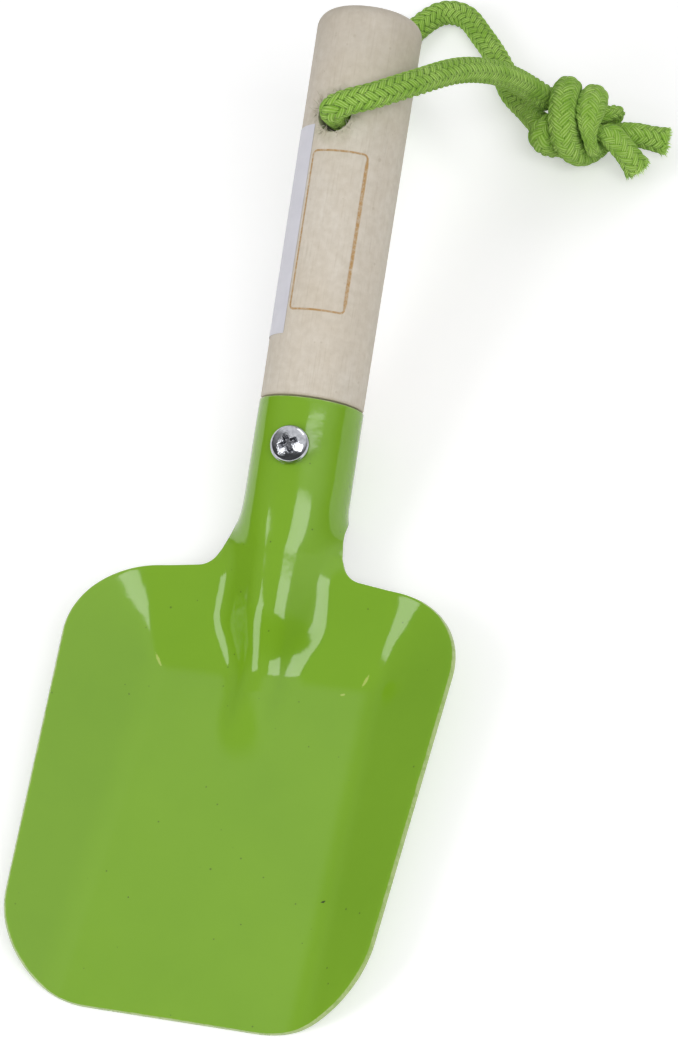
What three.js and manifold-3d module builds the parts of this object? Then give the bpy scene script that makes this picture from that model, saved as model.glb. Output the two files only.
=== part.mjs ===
// Children's trowel: an enamelled steel blade pressed from one sheet and rolled into a socket, a turned
// wooden handle held by one screw, and a braided hanging cord knotted beside the handle's end.
// Millimetres, +Z up. The blade's floor lies flat on z = 0, the tip points to -Y, the handle rises to +Y.
import * as THREE from 'three';
import { mergeVertices } from 'three/addons/utils/BufferGeometryUtils.js';
import Module from 'manifold-3d';

const wasm = await Module();
wasm.setup();

const DEGREE = Math.PI / 180;

// Sheet and socket
const SHEET = 1.0;
const HANDLE_TILT = 21 * DEGREE;
const SOCKET_OUTER_RADIUS = 11.1;
const SOCKET_LENGTH = 19;
const SOCKET_REACH = 132.8;
const SEAM_GAP = 0.6;
const NECK_LENGTH = 13;
const NECK_HALF_WIDTH = 12.8;
const NECK_TAPER = 2.6;
const NECK_UNROLL = 3.4;

// Pan of the blade
const FLOOR_LENGTH = 76.4;
const FLOOR_HALF_AT_TIP = 26;
const FLOOR_HALF_AT_HEEL = 23.7;
const PAN_HALF_AT_TIP = 36.8;
const PAN_HALF_AT_SHOULDER = 42.5;
const PAN_LENGTH = 93.8;
const SHOULDER_RISE = 3.4;
const SHOULDER_RADIUS = 18.3;
const TIP_RADIUS = 20.5;
const NOTCH_FLARE = 2;
const NECK_FILLET = 5.5;
const WALL_SLOPE = 30.7 * DEGREE;
const HEEL_SLOPE = 20 * DEGREE;
const HEEL_CURVE = 0.003;
const HEEL_TOP = 21;
const HEEL_TOP_BEND = 3.5;
const WALL_BEND = 3.0;
const HEEL_BEND = 1.6;

// Ridge that carries the socket's front on into the pan
const RIDGE_RADIUS = 5.6;
const RIDGE_FLANK = 58 * DEGREE;
const RIDGE_FILLET = 4.4;
const RIDGE_END = 64.6;

// Handle
const HANDLE_LENGTH = 86;
const HANDLE_RADIUS_AT_SOCKET = 10.95;
const HANDLE_RADIUS_AT_END = 11.3;
const HANDLE_END_ROUND = 3.6;
const HANDLE_CHAMFER = 0.7;
const SPIGOT_LENGTH = 18;
const CORD_HOLE_STATION = 61.2;
const CORD_HOLE_TURN = -10 * DEGREE;
const CORD_HOLE_RADIUS = 3.7;
const FIT_CLEARANCE = 0.3;

// Screw
const SCREW_STATION = 10.4;
const SCREW_HEAD_RADIUS = 4.15;
const SCREW_HEAD_HEIGHT = 2.7;
const SCREW_HEAD_RIM = 0.7;
const SCREW_SHANK_RADIUS = 1.9;
const SCREW_SHANK_LENGTH = 14;
const RECESS_SPAN = 4.4;
const RECESS_ARM = 1.1;
const RECESS_DEPTH = 1.5;

// Cord
const CORD_RADIUS = 2.85;
const CORD_BEND_DEPTH = 1;
const KNOT_STRAND_RADIUS = 1.8;
const KNOT_STRAND_GAP = 0.6;
const KNOT_WRAP_ADVANCE = 13;
const KNOT_FRONT_START = 45 * DEGREE;
const KNOT_BACK_START = 225 * DEGREE;
const KNOT_SWEEP = 450 * DEGREE;
const KNOT_BEND_SWEEP = 50 * DEGREE;
const KNOT_BEND_REACH = 3.6;
const KNOT_HALF_LENGTH = 9;
const KNOT_CENTRE = new THREE.Vector3(40.3, 110.9, 9.6);
const KNOT_AXIS = new THREE.Vector3(0.96, -0.28, 0).normalize();
const CORD_FRONT_ROUTE = [
  [-0.7, 76.0, 53.6], [2.6, 77.2, 54.6], [6.9, 79.3, 54.3], [13.4, 85.8, 51.0], [19.9, 96.5, 43.0],
  [24.4, 104.9, 33.0], [27.0, 110.6, 23.8], [29.0, 114.2, 16.6],
];
const CORD_BACK_ROUTE = [
  [2.4, 87.4, 26.0], [2.6, 92.0, 19.0], [-0.4, 103.0, 10.0], [-5.6, 117.0, 4.6], [-8.0, 129.0, 3.2],
  [-5.4, 138.5, 3.1], [0.2, 144.9, 3.1], [5.6, 144.6, 3.1], [11.6, 138.4, 3.1], [17.4, 130.6, 3.3],
  [21.6, 122.4, 4.0], [26.6, 117.0, 4.8],
];
const TAIL_FRONT_ROUTE = [[53.0, 110.6, 7.2], [56.0, 111.0, 6.0], [58.9, 111.4, 4.8]];
const TAIL_BACK_ROUTE = [[51.0, 105.0, 9.4], [54.1, 103.3, 5.0]];

// Counts of facets
const HALF_COLUMNS = 18;
const SOCKET_ROWS = 3;
const NECK_ROWS = 7;
const PAN_ROWS = 40;
const CROWDED_ROWS = 8;
const COLUMN_CROWDING = 0.4;
const FILLET_POINTS = 6;
const SHOULDER_POINTS = 12;
const TIP_POINTS = 10;
const ROUND_SIDES = 40;
const BORE_SIDES = 24;
const SCREW_SIDES = 28;
const CORD_SIDES = 10;
const CORD_STEP = 2.4;

const cosTilt = Math.cos(HANDLE_TILT);
const sinTilt = Math.sin(HANDLE_TILT);
const socketMidRadius = SOCKET_OUTER_RADIUS - SHEET / 2;
const socketHeight = SOCKET_OUTER_RADIUS * cosTilt + SOCKET_LENGTH * sinTilt;
const neckStation = SOCKET_LENGTH + NECK_LENGTH;

const smooth = (t) => t * t * (3 - 2 * t);
const mix = (a, b, t) => a + (b - a) * t;

// Point of the socket's own axes: across, below the mouth along the axis, and out of the front.
function fromSocket(across, station, front) {
  const y = SOCKET_REACH - station * cosTilt - front * sinTilt;
  const z = socketHeight - station * sinTilt + front * cosTilt;
  return new THREE.Vector3(across, y, z);
}

function stationOf(y, z) {
  return (SOCKET_REACH - y) * cosTilt + (socketHeight - z) * sinTilt;
}

function frontOf(y, z) {
  return (SOCKET_REACH - y) * sinTilt + (z - socketHeight) * cosTilt;
}

// A wall that bends up out of the flat floor over a short round stretch.
function bentWall(distance, slope, bend) {
  if (distance <= -bend) return 0;
  if (distance >= bend) return slope * distance;
  return slope * (distance + bend) ** 2 / (4 * bend);
}

function panHeight(x, y) {
  const floorHalf = mix(FLOOR_HALF_AT_TIP, FLOOR_HALF_AT_HEEL, y / FLOOR_LENGTH);
  const wall = bentWall(Math.abs(x) - floorHalf, Math.tan(WALL_SLOPE), WALL_BEND);
  const past = y - FLOOR_LENGTH;
  const up = past - bentWall(past - HEEL_TOP, 1, HEEL_TOP_BEND);
  const heel = bentWall(up, Math.tan(HEEL_SLOPE), HEEL_BEND) + HEEL_CURVE * Math.max(up, 0) ** 2;
  return Math.hypot(wall, heel);
}

// The ridge's back is the straight line of the socket's front; its end is rounded off in the floor.
const ridgeTop = fromSocket(0, neckStation, socketMidRadius);

function ridgeHeight(x, y) {
  const share = THREE.MathUtils.clamp((y - FLOOR_LENGTH) / (ridgeTop.y - FLOOR_LENGTH), 0, 1);
  const radius = mix(RIDGE_RADIUS, socketMidRadius, smooth(share));
  const pastEnd = Math.max(RIDGE_END - y, 0);
  const aside = Math.hypot(x, pastEnd);
  const crest = ridgeTop.z - SHEET / 2 - (ridgeTop.y - Math.max(y, RIDGE_END)) * Math.tan(HANDLE_TILT);
  const turned = radius * Math.sin(RIDGE_FLANK);
  if (aside < turned) return crest - radius + Math.sqrt(radius ** 2 - aside ** 2);
  return crest - radius * (1 - Math.cos(RIDGE_FLANK)) - (aside - turned) * Math.tan(RIDGE_FLANK);
}

// Height of the sheet's middle over the table, with a fillet where the ridge leaves the pan.
function sheetHeight(x, y) {
  const pan = panHeight(x, y);
  const ridge = ridgeHeight(x, y);
  const near = Math.max(RIDGE_FILLET - Math.abs(pan - ridge), 0);
  return SHEET / 2 + Math.max(pan, ridge) + near ** 2 / (4 * RIDGE_FILLET);
}

// Round the corner of an outline: the points of the arc between its two straight sides.
function roundCorner(before, corner, after, radius, count) {
  const toBefore = before.clone().sub(corner).normalize();
  const toAfter = after.clone().sub(corner).normalize();
  const half = Math.acos(toBefore.dot(toAfter)) / 2;
  const middle = toBefore.clone().add(toAfter).normalize().multiplyScalar(radius / Math.sin(half));
  const centre = corner.clone().add(middle);
  const start = corner.clone().addScaledVector(toBefore, radius / Math.tan(half)).sub(centre);
  const end = corner.clone().addScaledVector(toAfter, radius / Math.tan(half)).sub(centre);
  let turn = end.angle() - start.angle();
  turn -= Math.round(turn / (2 * Math.PI)) * 2 * Math.PI;
  return Array.from({ length: count + 1 }, (_, i) =>
    start.clone().rotateAround(new THREE.Vector2(), turn * i / count).add(centre));
}

// Half section of the neck where it leaves the pan, cut square to the socket's axis.
function neckSection() {
  const steps = 96;
  const points = [];
  for (let i = 0; i <= steps; i++) {
    const x = NECK_HALF_WIDTH * i / steps;
    let low = FLOOR_LENGTH;
    let high = SOCKET_REACH;
    for (let k = 0; k < 40; k++) {
      const y = (low + high) / 2;
      if (stationOf(y, sheetHeight(x, y)) > neckStation) low = y;
      else high = y;
    }
    points.push(new THREE.Vector2(x, frontOf(low, sheetHeight(x, low))));
  }
  return points;
}

const neckPoints = neckSection();
const neckLengths = [0];
for (let i = 1; i < neckPoints.length; i++) {
  neckLengths.push(neckLengths[i - 1] + neckPoints[i].distanceTo(neckPoints[i - 1]));
}
const neckHalfLength = neckLengths[neckLengths.length - 1];
const socketHalfLength = Math.PI * socketMidRadius - SEAM_GAP / 2;

// Angle of the neck's half section at a length from the crest; past its edge the last angle goes on.
function neckAngle(at) {
  const found = neckLengths.findIndex((length) => length >= at);
  const after = found < 1 ? neckPoints.length - 1 : found;
  const direction = neckPoints[after].clone().sub(neckPoints[after - 1]);
  return Math.atan2(direction.y, direction.x);
}

// Half section of the sheet at a station: rolled shut in the socket, opening toward the pan.
function rolledSection(station) {
  const opened = THREE.MathUtils.clamp((station - SOCKET_LENGTH) / NECK_LENGTH, 0, 1);
  const length = mix(neckHalfLength, socketHalfLength, (1 - opened) ** NECK_TAPER);
  const fine = 8;
  const steps = HALF_COLUMNS * fine;
  const point = new THREE.Vector2(0, socketMidRadius);
  const section = [point.clone()];
  for (let i = 0; i < steps; i++) {
    const at = (i + 0.5) / steps * length;
    const angle = mix(-at / socketMidRadius, neckAngle(at), opened ** NECK_UNROLL);
    point.x += Math.cos(angle) * length / steps;
    point.y += Math.sin(angle) * length / steps;
    if ((i + 1) % fine === 0) section.push(point.clone());
  }
  return section;
}

// Outline of half the pan from the neck round the shoulder and the side to the tip.
function panOutline(neckEnd) {
  const neck = new THREE.Vector2(neckEnd.x, neckEnd.y);
  const notch = new THREE.Vector2(NECK_HALF_WIDTH + NOTCH_FLARE, PAN_LENGTH + SHOULDER_RISE);
  const shoulder = new THREE.Vector2(PAN_HALF_AT_SHOULDER, PAN_LENGTH);
  const tip = new THREE.Vector2(PAN_HALF_AT_TIP, 0);
  const middle = new THREE.Vector2(0, 0);
  const path = new THREE.CurvePath();
  const corners = [
    neck,
    ...roundCorner(neck, notch, shoulder, Math.min(NECK_FILLET, neck.distanceTo(notch)), FILLET_POINTS),
    ...roundCorner(notch, shoulder, tip, SHOULDER_RADIUS, SHOULDER_POINTS),
    ...roundCorner(shoulder, tip, middle, TIP_RADIUS, TIP_POINTS),
  ];
  for (let i = 1; i < corners.length; i++) {
    if (corners[i].distanceTo(corners[i - 1]) > 1e-6) {
      path.add(new THREE.LineCurve(corners[i - 1], corners[i]));
    }
  }
  return path;
}

// Rows of points over half of the sheet, from the socket's mouth to the tip.
function sheetRows() {
  const rows = [];
  for (let j = 0; j <= SOCKET_ROWS + NECK_ROWS; j++) {
    const station = j < SOCKET_ROWS
      ? SOCKET_LENGTH * j / SOCKET_ROWS
      : SOCKET_LENGTH + NECK_LENGTH * (j - SOCKET_ROWS) / NECK_ROWS;
    rows.push(rolledSection(station).map((point) => fromSocket(point.x, station, point.y)));
  }
  const neckRow = rows[rows.length - 1];
  const outline = panOutline(neckRow[HALF_COLUMNS]);
  for (let j = 1; j <= PAN_ROWS; j++) {
    const rim = outline.getPointAt(j / PAN_ROWS);
    const spine = neckRow[0].y * (1 - j / PAN_ROWS);
    const crowding = 1 + COLUMN_CROWDING * Math.min(j / CROWDED_ROWS, 1);
    const row = [];
    for (let i = 0; i <= HALF_COLUMNS; i++) {
      const share = (i / HALF_COLUMNS) ** crowding;
      const x = rim.x * share;
      const y = mix(spine, rim.y, share);
      row.push(new THREE.Vector3(x, y, sheetHeight(x, y)));
    }
    rows.push(row);
  }
  return rows;
}

// Closed sheet of even thickness round a grid of middle points.
function thickenedSheet(rows) {
  const columns = 2 * HALF_COLUMNS + 1;
  const middles = rows.flatMap((row) => [
    ...row.slice(1).reverse().map((point) => new THREE.Vector3(-point.x, point.y, point.z)),
    ...row,
  ]);
  const faces = [];
  for (let j = 0; j + 1 < rows.length; j++) {
    for (let i = 0; i + 1 < columns; i++) {
      const a = j * columns + i;
      const b = a + columns;
      if (i < HALF_COLUMNS) faces.push(a, b, a + 1, a + 1, b, b + 1);
      else faces.push(a, b, b + 1, a, b + 1, a + 1);
    }
  }
  const grid = new THREE.BufferGeometry().setFromPoints(middles).setIndex(faces);
  grid.computeVertexNormals();
  const normal = grid.getAttribute('normal');
  const count = middles.length;
  const offset = (side) => middles.map((point, k) =>
    point.clone().addScaledVector(new THREE.Vector3().fromBufferAttribute(normal, k), side * SHEET / 2));
  const border = [];
  const last = (rows.length - 1) * columns;
  for (let i = 0; i + 1 < columns; i++) border.push([i, i + 1]);
  for (let j = 0; j + 1 < rows.length; j++) border.push([(j + 1) * columns - 1, (j + 2) * columns - 1]);
  for (let i = columns - 1; i > 0; i--) border.push([last + i, last + i - 1]);
  for (let j = rows.length - 1; j > 0; j--) border.push([j * columns, (j - 1) * columns]);
  const closed = [...faces];
  for (let k = 0; k < faces.length; k += 3) {
    closed.push(faces[k] + count, faces[k + 2] + count, faces[k + 1] + count);
  }
  for (const [a, b] of border) closed.push(a, b, a + count, b, b + count, a + count);
  return new THREE.BufferGeometry().setFromPoints([...offset(1), ...offset(-1)]).setIndex(closed);
}

// Cutting and joining of closed meshes.
function toSolid(geometry, matrix = new THREE.Matrix4()) {
  const bare = geometry.clone().applyMatrix4(matrix);
  bare.deleteAttribute('normal');
  bare.deleteAttribute('uv');
  const merged = mergeVertices(bare, 1e-4);
  return new wasm.Manifold(new wasm.Mesh({
    numProp: 3,
    vertProperties: new Float32Array(merged.getAttribute('position').array),
    triVerts: new Uint32Array(merged.getIndex().array),
  }));
}

function toGeometry(solid) {
  const mesh = solid.getMesh();
  const geometry = new THREE.BufferGeometry();
  geometry.setAttribute('position', new THREE.BufferAttribute(mesh.vertProperties, 3));
  geometry.setIndex(new THREE.BufferAttribute(mesh.triVerts, 1));
  geometry.computeVertexNormals();
  return geometry;
}

function lathe(profile, sides = ROUND_SIDES) {
  return new THREE.LatheGeometry(profile.map(([radius, along]) => new THREE.Vector2(radius, along)), sides);
}

// Frames on the handle's axis, whose +Y runs to the handle's end and whose +Z is the front.
const handleFrame = new THREE.Matrix4().makeRotationX(HANDLE_TILT)
  .setPosition(0, SOCKET_REACH, socketHeight);

// Turn a lathe's axis to the front of the handle at a station above the socket's mouth.
function acrossHandle(station, turn) {
  return new THREE.Matrix4().makeTranslation(0, station, 0)
    .multiply(new THREE.Matrix4().makeRotationY(turn))
    .multiply(new THREE.Matrix4().makeRotationX(Math.PI / 2));
}

const screwHoleRadius = SCREW_SHANK_RADIUS + FIT_CLEARANCE;

function buildBlade() {
  const reach = 2 * SOCKET_OUTER_RADIUS;
  const drill = lathe([[0, 0], [screwHoleRadius, 0], [screwHoleRadius, reach], [0, reach]], BORE_SIDES);
  const place = handleFrame.clone().multiply(acrossHandle(-SCREW_STATION, 0));
  return toGeometry(toSolid(thickenedSheet(sheetRows())).subtract(toSolid(drill, place)));
}

function buildHandle() {
  const spigotRadius = SOCKET_OUTER_RADIUS - SHEET - FIT_CLEARANCE;
  const profile = [
    [0, -SPIGOT_LENGTH],
    [spigotRadius - HANDLE_CHAMFER, -SPIGOT_LENGTH],
    [spigotRadius, HANDLE_CHAMFER - SPIGOT_LENGTH],
    [spigotRadius, FIT_CLEARANCE],
    [HANDLE_RADIUS_AT_SOCKET - HANDLE_CHAMFER, FIT_CLEARANCE],
    [HANDLE_RADIUS_AT_SOCKET, FIT_CLEARANCE + HANDLE_CHAMFER],
  ];
  const roundSteps = 6;
  for (let i = 0; i <= roundSteps; i++) {
    const angle = Math.PI / 2 * i / roundSteps;
    profile.push([
      HANDLE_RADIUS_AT_END - HANDLE_END_ROUND * (1 - Math.cos(angle)),
      HANDLE_LENGTH - HANDLE_END_ROUND * (1 - Math.sin(angle)),
    ]);
  }
  profile.push([0, HANDLE_LENGTH]);
  const half = 2 * HANDLE_RADIUS_AT_END;
  const bore = lathe([
    [0, -half], [CORD_HOLE_RADIUS, -half], [CORD_HOLE_RADIUS, half], [0, half],
  ], BORE_SIDES);
  const pilotFloor = SOCKET_OUTER_RADIUS - SCREW_SHANK_LENGTH - FIT_CLEARANCE;
  const pilot = lathe([
    [0, pilotFloor], [screwHoleRadius, pilotFloor], [screwHoleRadius, half], [0, half],
  ], BORE_SIDES);
  return toGeometry(toSolid(lathe(profile))
    .subtract(toSolid(bore, acrossHandle(CORD_HOLE_STATION, CORD_HOLE_TURN)))
    .subtract(toSolid(pilot, acrossHandle(-SCREW_STATION, 0))));
}

// Pan head with a cross recess on a plain shank, along the lathe's +Y, head up.
function buildScrew() {
  const seat = SOCKET_OUTER_RADIUS + FIT_CLEARANCE / 2;
  const point = SCREW_SHANK_RADIUS;
  const profile = [
    [0, SOCKET_OUTER_RADIUS - SCREW_SHANK_LENGTH],
    [SCREW_SHANK_RADIUS, SOCKET_OUTER_RADIUS - SCREW_SHANK_LENGTH + point],
    [SCREW_SHANK_RADIUS, seat],
    [SCREW_HEAD_RADIUS, seat],
    [SCREW_HEAD_RADIUS, seat + SCREW_HEAD_RIM],
  ];
  const domeSteps = 5;
  for (let i = 1; i <= domeSteps; i++) {
    const angle = Math.PI / 2 * i / domeSteps;
    profile.push([
      i === domeSteps ? 0 : SCREW_HEAD_RADIUS * Math.cos(angle),
      seat + SCREW_HEAD_RIM + (SCREW_HEAD_HEIGHT - SCREW_HEAD_RIM) * Math.sin(angle),
    ]);
  }
  const top = seat + SCREW_HEAD_HEIGHT;
  const arm = new THREE.BoxGeometry(RECESS_SPAN, 2 * RECESS_DEPTH, RECESS_ARM);
  const lift = new THREE.Matrix4().makeTranslation(0, top, 0);
  const turned = lift.clone().multiply(new THREE.Matrix4().makeRotationY(Math.PI / 2));
  return toGeometry(toSolid(lathe(profile, SCREW_SIDES))
    .subtract(toSolid(arm, lift))
    .subtract(toSolid(arm, turned)));
}

// Knot: both strands pass through the middle, wrap back over it once, and leave through it.
const strandPitch = 2 * KNOT_STRAND_RADIUS + KNOT_STRAND_GAP;
const coreRadius = strandPitch / Math.SQRT2;
const wrapRadius = coreRadius + strandPitch;
const wrapSweep = KNOT_SWEEP - 2 * KNOT_BEND_SWEEP;
const wrapReach = KNOT_WRAP_ADVANCE * wrapSweep / (4 * Math.PI);
const knotUp = new THREE.Vector3(0, 0, 1);
const knotSide = knotUp.clone().cross(KNOT_AXIS);

function knotPoint(along, radius, angle) {
  return KNOT_CENTRE.clone()
    .addScaledVector(KNOT_AXIS, along)
    .addScaledVector(knotSide, radius * Math.cos(angle))
    .addScaledVector(knotUp, radius * Math.sin(angle));
}

// Path of one strand through the knot; the two strands start half a turn apart.
function knotStrand(startAngle) {
  const endAngle = startAngle - KNOT_SWEEP;
  const points = [];
  const bendSteps = 4;
  const wrapSteps = 14;
  const bend = (side, part, from) => {
    const out = 1 - Math.cos(part * Math.PI / 2);
    const left = KNOT_BEND_REACH * (1 - Math.sin(part * Math.PI / 2));
    const angle = from - side * KNOT_BEND_SWEEP * out;
    return knotPoint(side * (wrapReach - left), mix(coreRadius, wrapRadius, out), angle);
  };
  for (let along = -KNOT_HALF_LENGTH; along < wrapReach - KNOT_BEND_REACH - 1; along += coreRadius) {
    points.push(knotPoint(along, coreRadius, startAngle));
  }
  for (let i = 0; i < bendSteps; i++) points.push(bend(1, i / bendSteps, startAngle));
  for (let i = 0; i <= wrapSteps; i++) {
    const angle = startAngle - KNOT_BEND_SWEEP - wrapSweep * i / wrapSteps;
    points.push(knotPoint(mix(wrapReach, -wrapReach, i / wrapSteps), wrapRadius, angle));
  }
  for (let i = bendSteps - 1; i >= 0; i--) points.push(bend(-1, i / bendSteps, endAngle));
  const passStart = KNOT_BEND_REACH - wrapReach;
  for (let along = passStart + coreRadius; along < KNOT_HALF_LENGTH - 1; along += coreRadius) {
    points.push(knotPoint(along, coreRadius, endAngle));
  }
  return points;
}

// Tube of changing radius along a curve, closed at both ends.
function sweptTube({ curve, length, radiusAt }) {
  const steps = Math.round(length / CORD_STEP);
  const frames = curve.computeFrenetFrames(steps, false);
  const points = [];
  const faces = [];
  for (let j = 0; j <= steps; j++) {
    const centre = curve.getPointAt(j / steps);
    for (let i = 0; i < CORD_SIDES; i++) {
      const angle = 2 * Math.PI * i / CORD_SIDES;
      points.push(centre.clone()
        .addScaledVector(frames.normals[j], radiusAt(j / steps) * Math.cos(angle))
        .addScaledVector(frames.binormals[j], radiusAt(j / steps) * Math.sin(angle)));
    }
  }
  for (let j = 0; j < steps; j++) {
    for (let i = 0; i < CORD_SIDES; i++) {
      const a = j * CORD_SIDES + i;
      const b = j * CORD_SIDES + (i + 1) % CORD_SIDES;
      faces.push(a, b, a + CORD_SIDES, b, b + CORD_SIDES, a + CORD_SIDES);
    }
  }
  for (let i = 1; i + 1 < CORD_SIDES; i++) {
    const end = steps * CORD_SIDES;
    faces.push(0, i + 1, i, end, end + i, end + i + 1);
  }
  return new THREE.BufferGeometry().setFromPoints(points).setIndex(faces);
}

const toVectors = (route) => route.map(([x, y, z]) => new THREE.Vector3(x, y, z));

// Share of a curve's length at which it comes nearest to a point.
function shareNear(curve, point) {
  const steps = 600;
  const distances = Array.from({ length: steps + 1 }, (_, i) =>
    curve.getPointAt(i / steps).distanceTo(point));
  return distances.indexOf(Math.min(...distances)) / steps;
}

// One strand from the middle of the hole through its mouth, the leg, the knot and the tail.
function cordStrand(side, route, startAngle, tail) {
  const holeAxis = new THREE.Vector3(Math.sin(CORD_HOLE_TURN), 0, Math.cos(CORD_HOLE_TURN))
    .applyAxisAngle(new THREE.Vector3(1, 0, 0), HANDLE_TILT).multiplyScalar(side);
  const start = holeMiddle.clone().addScaledVector(holeAxis, FIT_CLEARANCE / 2);
  const mouth = holeMiddle.clone().addScaledVector(holeAxis, HANDLE_RADIUS_AT_END - CORD_BEND_DEPTH);
  const entry = knotPoint(-KNOT_HALF_LENGTH, coreRadius, startAngle);
  const exit = knotPoint(KNOT_HALF_LENGTH, coreRadius, startAngle - KNOT_SWEEP);
  const points = [
    start, mouth, ...toVectors(route), ...knotStrand(startAngle), exit, ...toVectors(tail),
  ];
  const curve = new THREE.CatmullRomCurve3(points, false, 'centripetal');
  curve.arcLengthDivisions = 2000;
  const length = curve.getLength();
  const [enters, leaves] = [shareNear(curve, entry) * length, shareNear(curve, exit) * length];
  const radiusAt = (share) => {
    const outside = Math.max(enters - share * length, share * length - leaves);
    const swelling = smooth(THREE.MathUtils.clamp(outside / (2 * CORD_RADIUS), 0, 1));
    return mix(KNOT_STRAND_RADIUS, CORD_RADIUS, swelling);
  };
  return { curve, length, radiusAt };
}

// Least gap between two strands, or of one strand to itself away from its own neighbourhood.
function leastGap(one, other) {
  const step = 0.5;
  const sample = (strand) => Array.from({ length: Math.floor(strand.length / step) }, (_, i) => {
    const share = i * step / strand.length;
    return { at: i * step, point: strand.curve.getPointAt(share), radius: strand.radiusAt(share) };
  });
  let least = Infinity;
  for (const a of sample(one)) {
    for (const b of sample(other)) {
      if (one === other && Math.abs(a.at - b.at) < 4 * CORD_RADIUS) continue;
      if (one !== other && a.at + b.at < 4 * CORD_RADIUS) continue;
      const gap = a.point.distanceTo(b.point) - a.radius - b.radius;
      least = Math.min(least, gap);
    }
  }
  return least;
}

const overallReach = SOCKET_REACH + HANDLE_END_ROUND
  + (HANDLE_LENGTH - HANDLE_END_ROUND) * cosTilt
  + (HANDLE_RADIUS_AT_END - HANDLE_END_ROUND) * sinTilt;
const middleReach = overallReach / 2;

const enamel = new THREE.MeshStandardMaterial({ color: 0x7faa2f, roughness: 0.22, metalness: 0.0 });
const beech = new THREE.MeshStandardMaterial({ color: 0xcdc0b0, roughness: 0.7, metalness: 0.0 });
const zinc = new THREE.MeshStandardMaterial({ color: 0xc9cbd0, roughness: 0.25, metalness: 1.0 });
const braid = new THREE.MeshStandardMaterial({ color: 0x86bd3f, roughness: 0.9, metalness: 0.0 });

function named(name, geometry, material) {
  const mesh = new THREE.Mesh(geometry, material);
  mesh.name = name;
  return mesh;
}

const handleGroup = new THREE.Group();
handleGroup.position.set(0, SOCKET_REACH, socketHeight);
handleGroup.rotation.x = HANDLE_TILT;
handleGroup.add(named('handle', buildHandle(), beech));
const screw = named('screw', buildScrew(), zinc);
screw.position.y = -SCREW_STATION;
screw.rotation.x = Math.PI / 2;
handleGroup.add(screw);

const tool = new THREE.Group();
tool.position.y = -middleReach;
tool.add(named('blade_and_socket', buildBlade(), enamel), handleGroup);

const holeMiddle = new THREE.Vector3(0, CORD_HOLE_STATION, 0).applyMatrix4(handleFrame)
  .sub(new THREE.Vector3(0, middleReach, 0));
const front = cordStrand(1, CORD_FRONT_ROUTE, KNOT_FRONT_START, TAIL_FRONT_ROUTE);
const back = cordStrand(-1, CORD_BACK_ROUTE, KNOT_BACK_START, TAIL_BACK_ROUTE);
for (const [words, one, other] of [
  ['front strand to itself', front, front],
  ['back strand to itself', back, back],
  ['strand to strand', front, back],
]) {
  console.log(`Least gap, ${words}: ${leastGap(one, other).toFixed(2)} mm`);
}
console.log(`Cord: ${(front.length + back.length).toFixed(0)} mm`);

const group = new THREE.Group();
group.add(tool);
group.add(named('cord_front', sweptTube(front), braid));
group.add(named('cord_back', sweptTube(back), braid));

export default group;
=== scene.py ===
"""Childrens trowel: enamelled blade with a rolled socket, bare wooden handle, screw, braided cord.

Sizes are in millimetres, as the maker would write them. Meshes are made in metres in the part's
own frame, and patterns on a finish have their scale per metre.
"""

import logging
import math
from dataclasses import dataclass
from enum import Enum
from typing import Any, Sequence

import bpy
import numpy as np
from mathutils import Matrix, Vector

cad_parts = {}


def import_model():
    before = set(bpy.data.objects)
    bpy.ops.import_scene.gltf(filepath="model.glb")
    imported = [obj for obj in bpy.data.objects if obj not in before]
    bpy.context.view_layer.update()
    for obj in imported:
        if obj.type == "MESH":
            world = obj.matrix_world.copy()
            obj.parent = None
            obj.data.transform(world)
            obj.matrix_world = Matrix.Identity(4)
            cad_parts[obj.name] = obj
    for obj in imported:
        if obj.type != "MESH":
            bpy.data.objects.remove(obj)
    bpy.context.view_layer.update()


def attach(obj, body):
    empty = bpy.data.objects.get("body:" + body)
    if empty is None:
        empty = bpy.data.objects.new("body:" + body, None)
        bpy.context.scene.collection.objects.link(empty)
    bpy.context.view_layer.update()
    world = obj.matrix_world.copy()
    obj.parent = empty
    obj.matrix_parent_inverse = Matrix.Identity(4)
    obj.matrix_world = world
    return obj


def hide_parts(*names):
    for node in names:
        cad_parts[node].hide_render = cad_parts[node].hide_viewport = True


LOG = logging.getLogger("trowel")
MM = 0.001
BODY = "root"

Piece = bpy.types.Object
Socket = bpy.types.NodeSocket
Colour = tuple[float, ...]
Pair = tuple[float, float]
Triple = tuple[float, float, float]
Route = tuple[Triple, ...]


class Slot(Enum):
    """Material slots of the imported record."""

    ENAMEL = "enamel"
    BEECH = "beech"
    ZINC = "zinc"
    BRAID = "braid"


# Small helpers of the workshop


def mix(a: float, b: float, share: float) -> float:
    """Return the value at a share of the way from a to b."""
    return a + (b - a) * share


def smooth(share: float) -> float:
    """Return a share eased at both ends."""
    return share * share * (3 - 2 * share)


def clamp(value: float, low: float = 0.0, high: float = 1.0) -> float:
    """Return the value held between two limits."""
    return min(max(value, low), high)


def linear(red: int, green: int, blue: int) -> Colour:
    """Turn a colour as seen, 0 to 255, into the renderer's linear values.

    Args:
        red: Red share.
        green: Green share.
        blue: Blue share.

    Returns:
        Linear red, green and blue, and full alpha.
    """
    parts = [c / 255 for c in (red, green, blue)]
    values = [p / 12.92 if p <= 0.04045 else ((p + 0.055) / 1.055) ** 2.4 for p in parts]
    return (values[0], values[1], values[2], 1.0)


def run_along(points: np.ndarray) -> np.ndarray:
    """Return the length run along a line at each of its points."""
    steps = np.linalg.norm(np.diff(points, axis=0), axis=1)
    return np.concatenate([[0], np.cumsum(steps)])


def spaced(points: np.ndarray, count: int) -> np.ndarray:
    """Return a number of points at even steps along a line."""
    run = run_along(points)
    wanted = np.linspace(0, run[-1], count)
    return np.stack([np.interp(wanted, run, column) for column in points.T], 1)


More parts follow.
